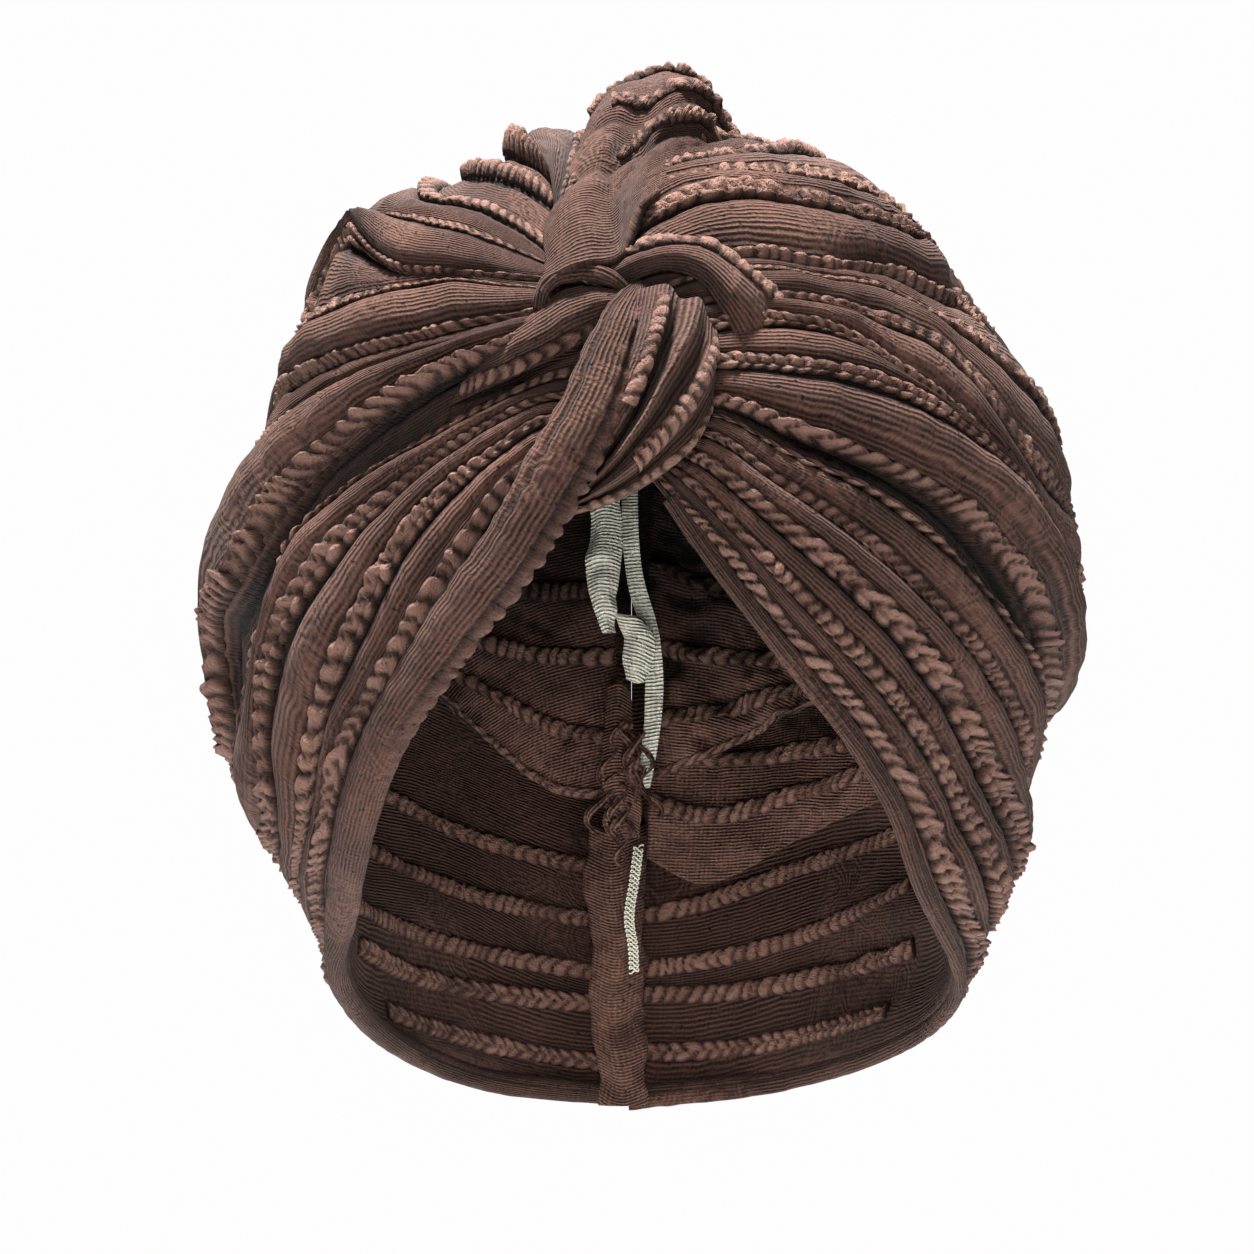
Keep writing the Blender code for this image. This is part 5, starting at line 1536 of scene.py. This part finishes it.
# The left wing's fold that comes out under the collar: rows of front-view places with a height.
UNDER_COLLAR = (
    ((-1.5, -19.5), (-7, -18.5), (-14, -18.5), (-19, -21.5), (-24, -26), (-32, -30), 1.0),
    ((-1.2, -21), (-7, -20.3), (-14, -21.3), (-20, -24.8), (-27, -29.5), (-36, -34), 5.0),
    ((-1.2, -22.8), (-7, -23), (-14.5, -25.8), (-21, -29.8), (-29, -34), (-39, -39), 6.0),
    ((-2.4, -25), (-8, -27.2), (-16, -31.2), (-23.5, -35), (-31.5, -38.6), (-41, -43), 3.0),
    ((-4, -27.5), (-10, -31), (-17.5, -35), (-25, -38.5), (-33, -42), (-42, -46), 1.5),
)
UNDER_COLLAR_SEWN = ((3.3, 1.9, "leaf", 0.9, 0.1, 0.9),)

# Rows inside the back, as pixels of the photograph, with half widths and how high they stand.
PHOTO_MIDDLE = (632, 627)
MM_PER_PIXEL = 0.2275
LEFT_BACK_ROWS = (
    (((372, 796), (450, 832), (540, 858), (596, 868)), 2.0, 0.45),
    (((361, 849), (460, 893), (568, 917), (600, 922)), 2.0, 0.5),
    (((354, 904), (460, 948), (570, 970), (600, 975)), 2.0, 0.6),
    (((359, 946), (460, 988), (568, 1003), (602, 1006)), 2.2, 0.9),
    (((386, 1011), (480, 1044), (579, 1062), (604, 1065)), 2.2, 0.8),
)
RIGHT_BACK_ROWS = (
    (((640, 918), (700, 905), (800, 870), (905, 832)), 2.0, 0.45),
    (((640, 972), (720, 960), (820, 932), (914, 885)), 2.0, 0.55),
    (((640, 996), (730, 994), (830, 975), (914, 948)), 2.2, 1.0),
    (((640, 1054), (720, 1052), (810, 1038), (893, 1014)), 2.2, 0.85),
)

# Frayed ends: from where to where their x, y, z, length and thickness are drawn.
FRINGE_RANGES = ((-7, 3), (70, 74), (-140, -118), (9, 20), (0.35, 0.75))

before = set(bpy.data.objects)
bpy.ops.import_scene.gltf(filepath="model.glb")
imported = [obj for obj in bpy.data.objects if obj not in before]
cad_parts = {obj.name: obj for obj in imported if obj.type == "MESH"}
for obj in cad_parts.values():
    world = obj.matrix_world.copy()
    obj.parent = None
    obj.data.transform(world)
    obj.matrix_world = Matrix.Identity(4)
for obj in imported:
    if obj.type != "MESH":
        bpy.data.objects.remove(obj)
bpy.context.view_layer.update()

brown = knit(
    "brown_jersey", (0.006, 0.0026, 0.0016, 1), (0.102, 0.048, 0.034, 1), (0.235, 0.128, 0.097, 1), RIB_PITCH
)
# The same brown jersey for the cloth inside, as a lit copy: painted light makes it about twice as light as
# the outside
inner_brown_painted_lighter = knit(
    "brown_inside_painted_lighter", (0.02, 0.0085, 0.0055, 1), (0.225, 0.114, 0.083, 1), (0.3, 0.16, 0.12, 1), 0.8,
    cross_share=0.25, swirls=0.3,
)
pale = knit(
    "pale_cloth", (0.47, 0.45, 0.36, 1), (0.92, 0.88, 0.74, 1), (0.93, 0.89, 0.75, 1), 0.9,
    cross_share=0.3, swirls=0.3,
)
thread = knit(
    "cream_thread", (0.5, 0.48, 0.38, 1), (0.74, 0.72, 0.6, 1), (0.75, 0.73, 0.6, 1), 0.5,
    swirls=0.0, relief=0.00008,
)

left_pieces, left_skin = make_wing("left_wing", -1, LEFT_CROWN, LEFT_FOLDS, LEFT_ROWS, brown)
right_pieces, right_skin = make_wing("right_wing", 1, RIGHT_CROWN, RIGHT_FOLDS, RIGHT_ROWS, brown)
left_back = make_back_rows("left_back_rows", "left_wing", LEFT_BACK_ROWS, *left_skin, inner_brown_painted_lighter, 201)
right_back = make_back_rows("right_back_rows", "right_wing", RIGHT_BACK_ROWS, *right_skin, inner_brown_painted_lighter, 231)
strand = make_strand(brown)
right_hem = make_right_hem(brown)
fan = pleated_piece(
    "knot_fan_cloth", "knot_fan", FAN_FOLDS, knot_base, (130, 150), 1.3, (-0.5, 0.3), 5.0,
    FAN_SEWN, 21, brown,
)
loop = pleated_piece(
    "knot_over_loop_cloth", "knot_over_loop", OVER_LOOP, loop_base, (150, 70), 1.1, (0.5, -1.0), 6.0,
    LOOP_SEWN, 31, brown,
)
under_collar = pleated_piece(
    "left_wing_knot_fold", "left_wing", UNDER_COLLAR, loop_base, (110, 70), 1.0, (0.7, -1.6), 4.0,
    UNDER_COLLAR_SEWN, 37, brown,
)
collar = make_collar(brown)
peak = make_peak(brown)
left_fold = make_sheet(
    "left_inner_fold_cloth", LEFT_INNER_FOLD, 90, 84, 1.6, 1.2,
    ((0.3, 0.42, 0.9), (0.5, 0.62, 0.9), (0.7, 0.84, 0.9)), True,
    inner_brown_painted_lighter, "inner_cloth", "left_inner_fold", 51, hem=True,
)
upper_fold = make_sheet(
    "right_upper_fold_cloth", RIGHT_UPPER_FOLD, 90, 84, 1.6, 2.6,
    ((0.3, 0.42, 1.0), (0.55, 0.6, 0.9), (0.8, 0.78, 0.9)), True,
    inner_brown_painted_lighter, "inner_cloth", "right_upper_fold", 61, hem=True,
)
lower_fold = make_sheet(
    "right_lower_fold_cloth", RIGHT_LOWER_FOLD, 90, 72, 1.6, 1.0,
    ((0.45, 0.5, 0.9), (0.7, 0.74, 0.9)), True,
    inner_brown_painted_lighter, "inner_cloth", "right_lower_fold", 71,
)
flap = make_sheet(
    "seam_allowance_cloth", (*SEAM_ALLOWANCE, SEAM_FOOT), 44, 130, 1.2, 1.2, (), False,
    inner_brown_painted_lighter, "inner_cloth", "seam_allowance", 81,
)
strip = make_sheet(
    "pale_strip_cloth", PALE_STRIP_FALL, 24, 150, 1.1, 0.7, (), True, pale, "pale_tape", "pale_strip", 91,
)
tape = make_sheet(
    "pale_tape_cloth", PALE_TAPE, 50, 120, 1.1, 1.3, (), True, pale, "pale_tape", "pale_tape", 95,
)
tails = make_sheet(
    "frayed_tails_cloth", TAILS_FALL, 30, 70, 1.2, 1.2, (), False,
    inner_brown_painted_lighter, "inner_cloth", "frayed_tails", 99,
)
tape_end = make_sheet(
    "pale_tape_end", PALE_TAPE_END, 36, 36, 1.0, 1.4, (), False, pale, "pale_tape", "pale_tape", 97,
)
overlock = stitched_row("overlock_row", through(OVERLOCK, 60), 1.15, 1.15, 0.24, thread)
rng = np.random.default_rng(7)
fringe = [[rng.uniform(*ends) for ends in FRINGE_RANGES] for _ in range(22)]
frayed = wisps("frayed_ends", fringe, inner_brown_painted_lighter, "inner_cloth", 12)

studio()
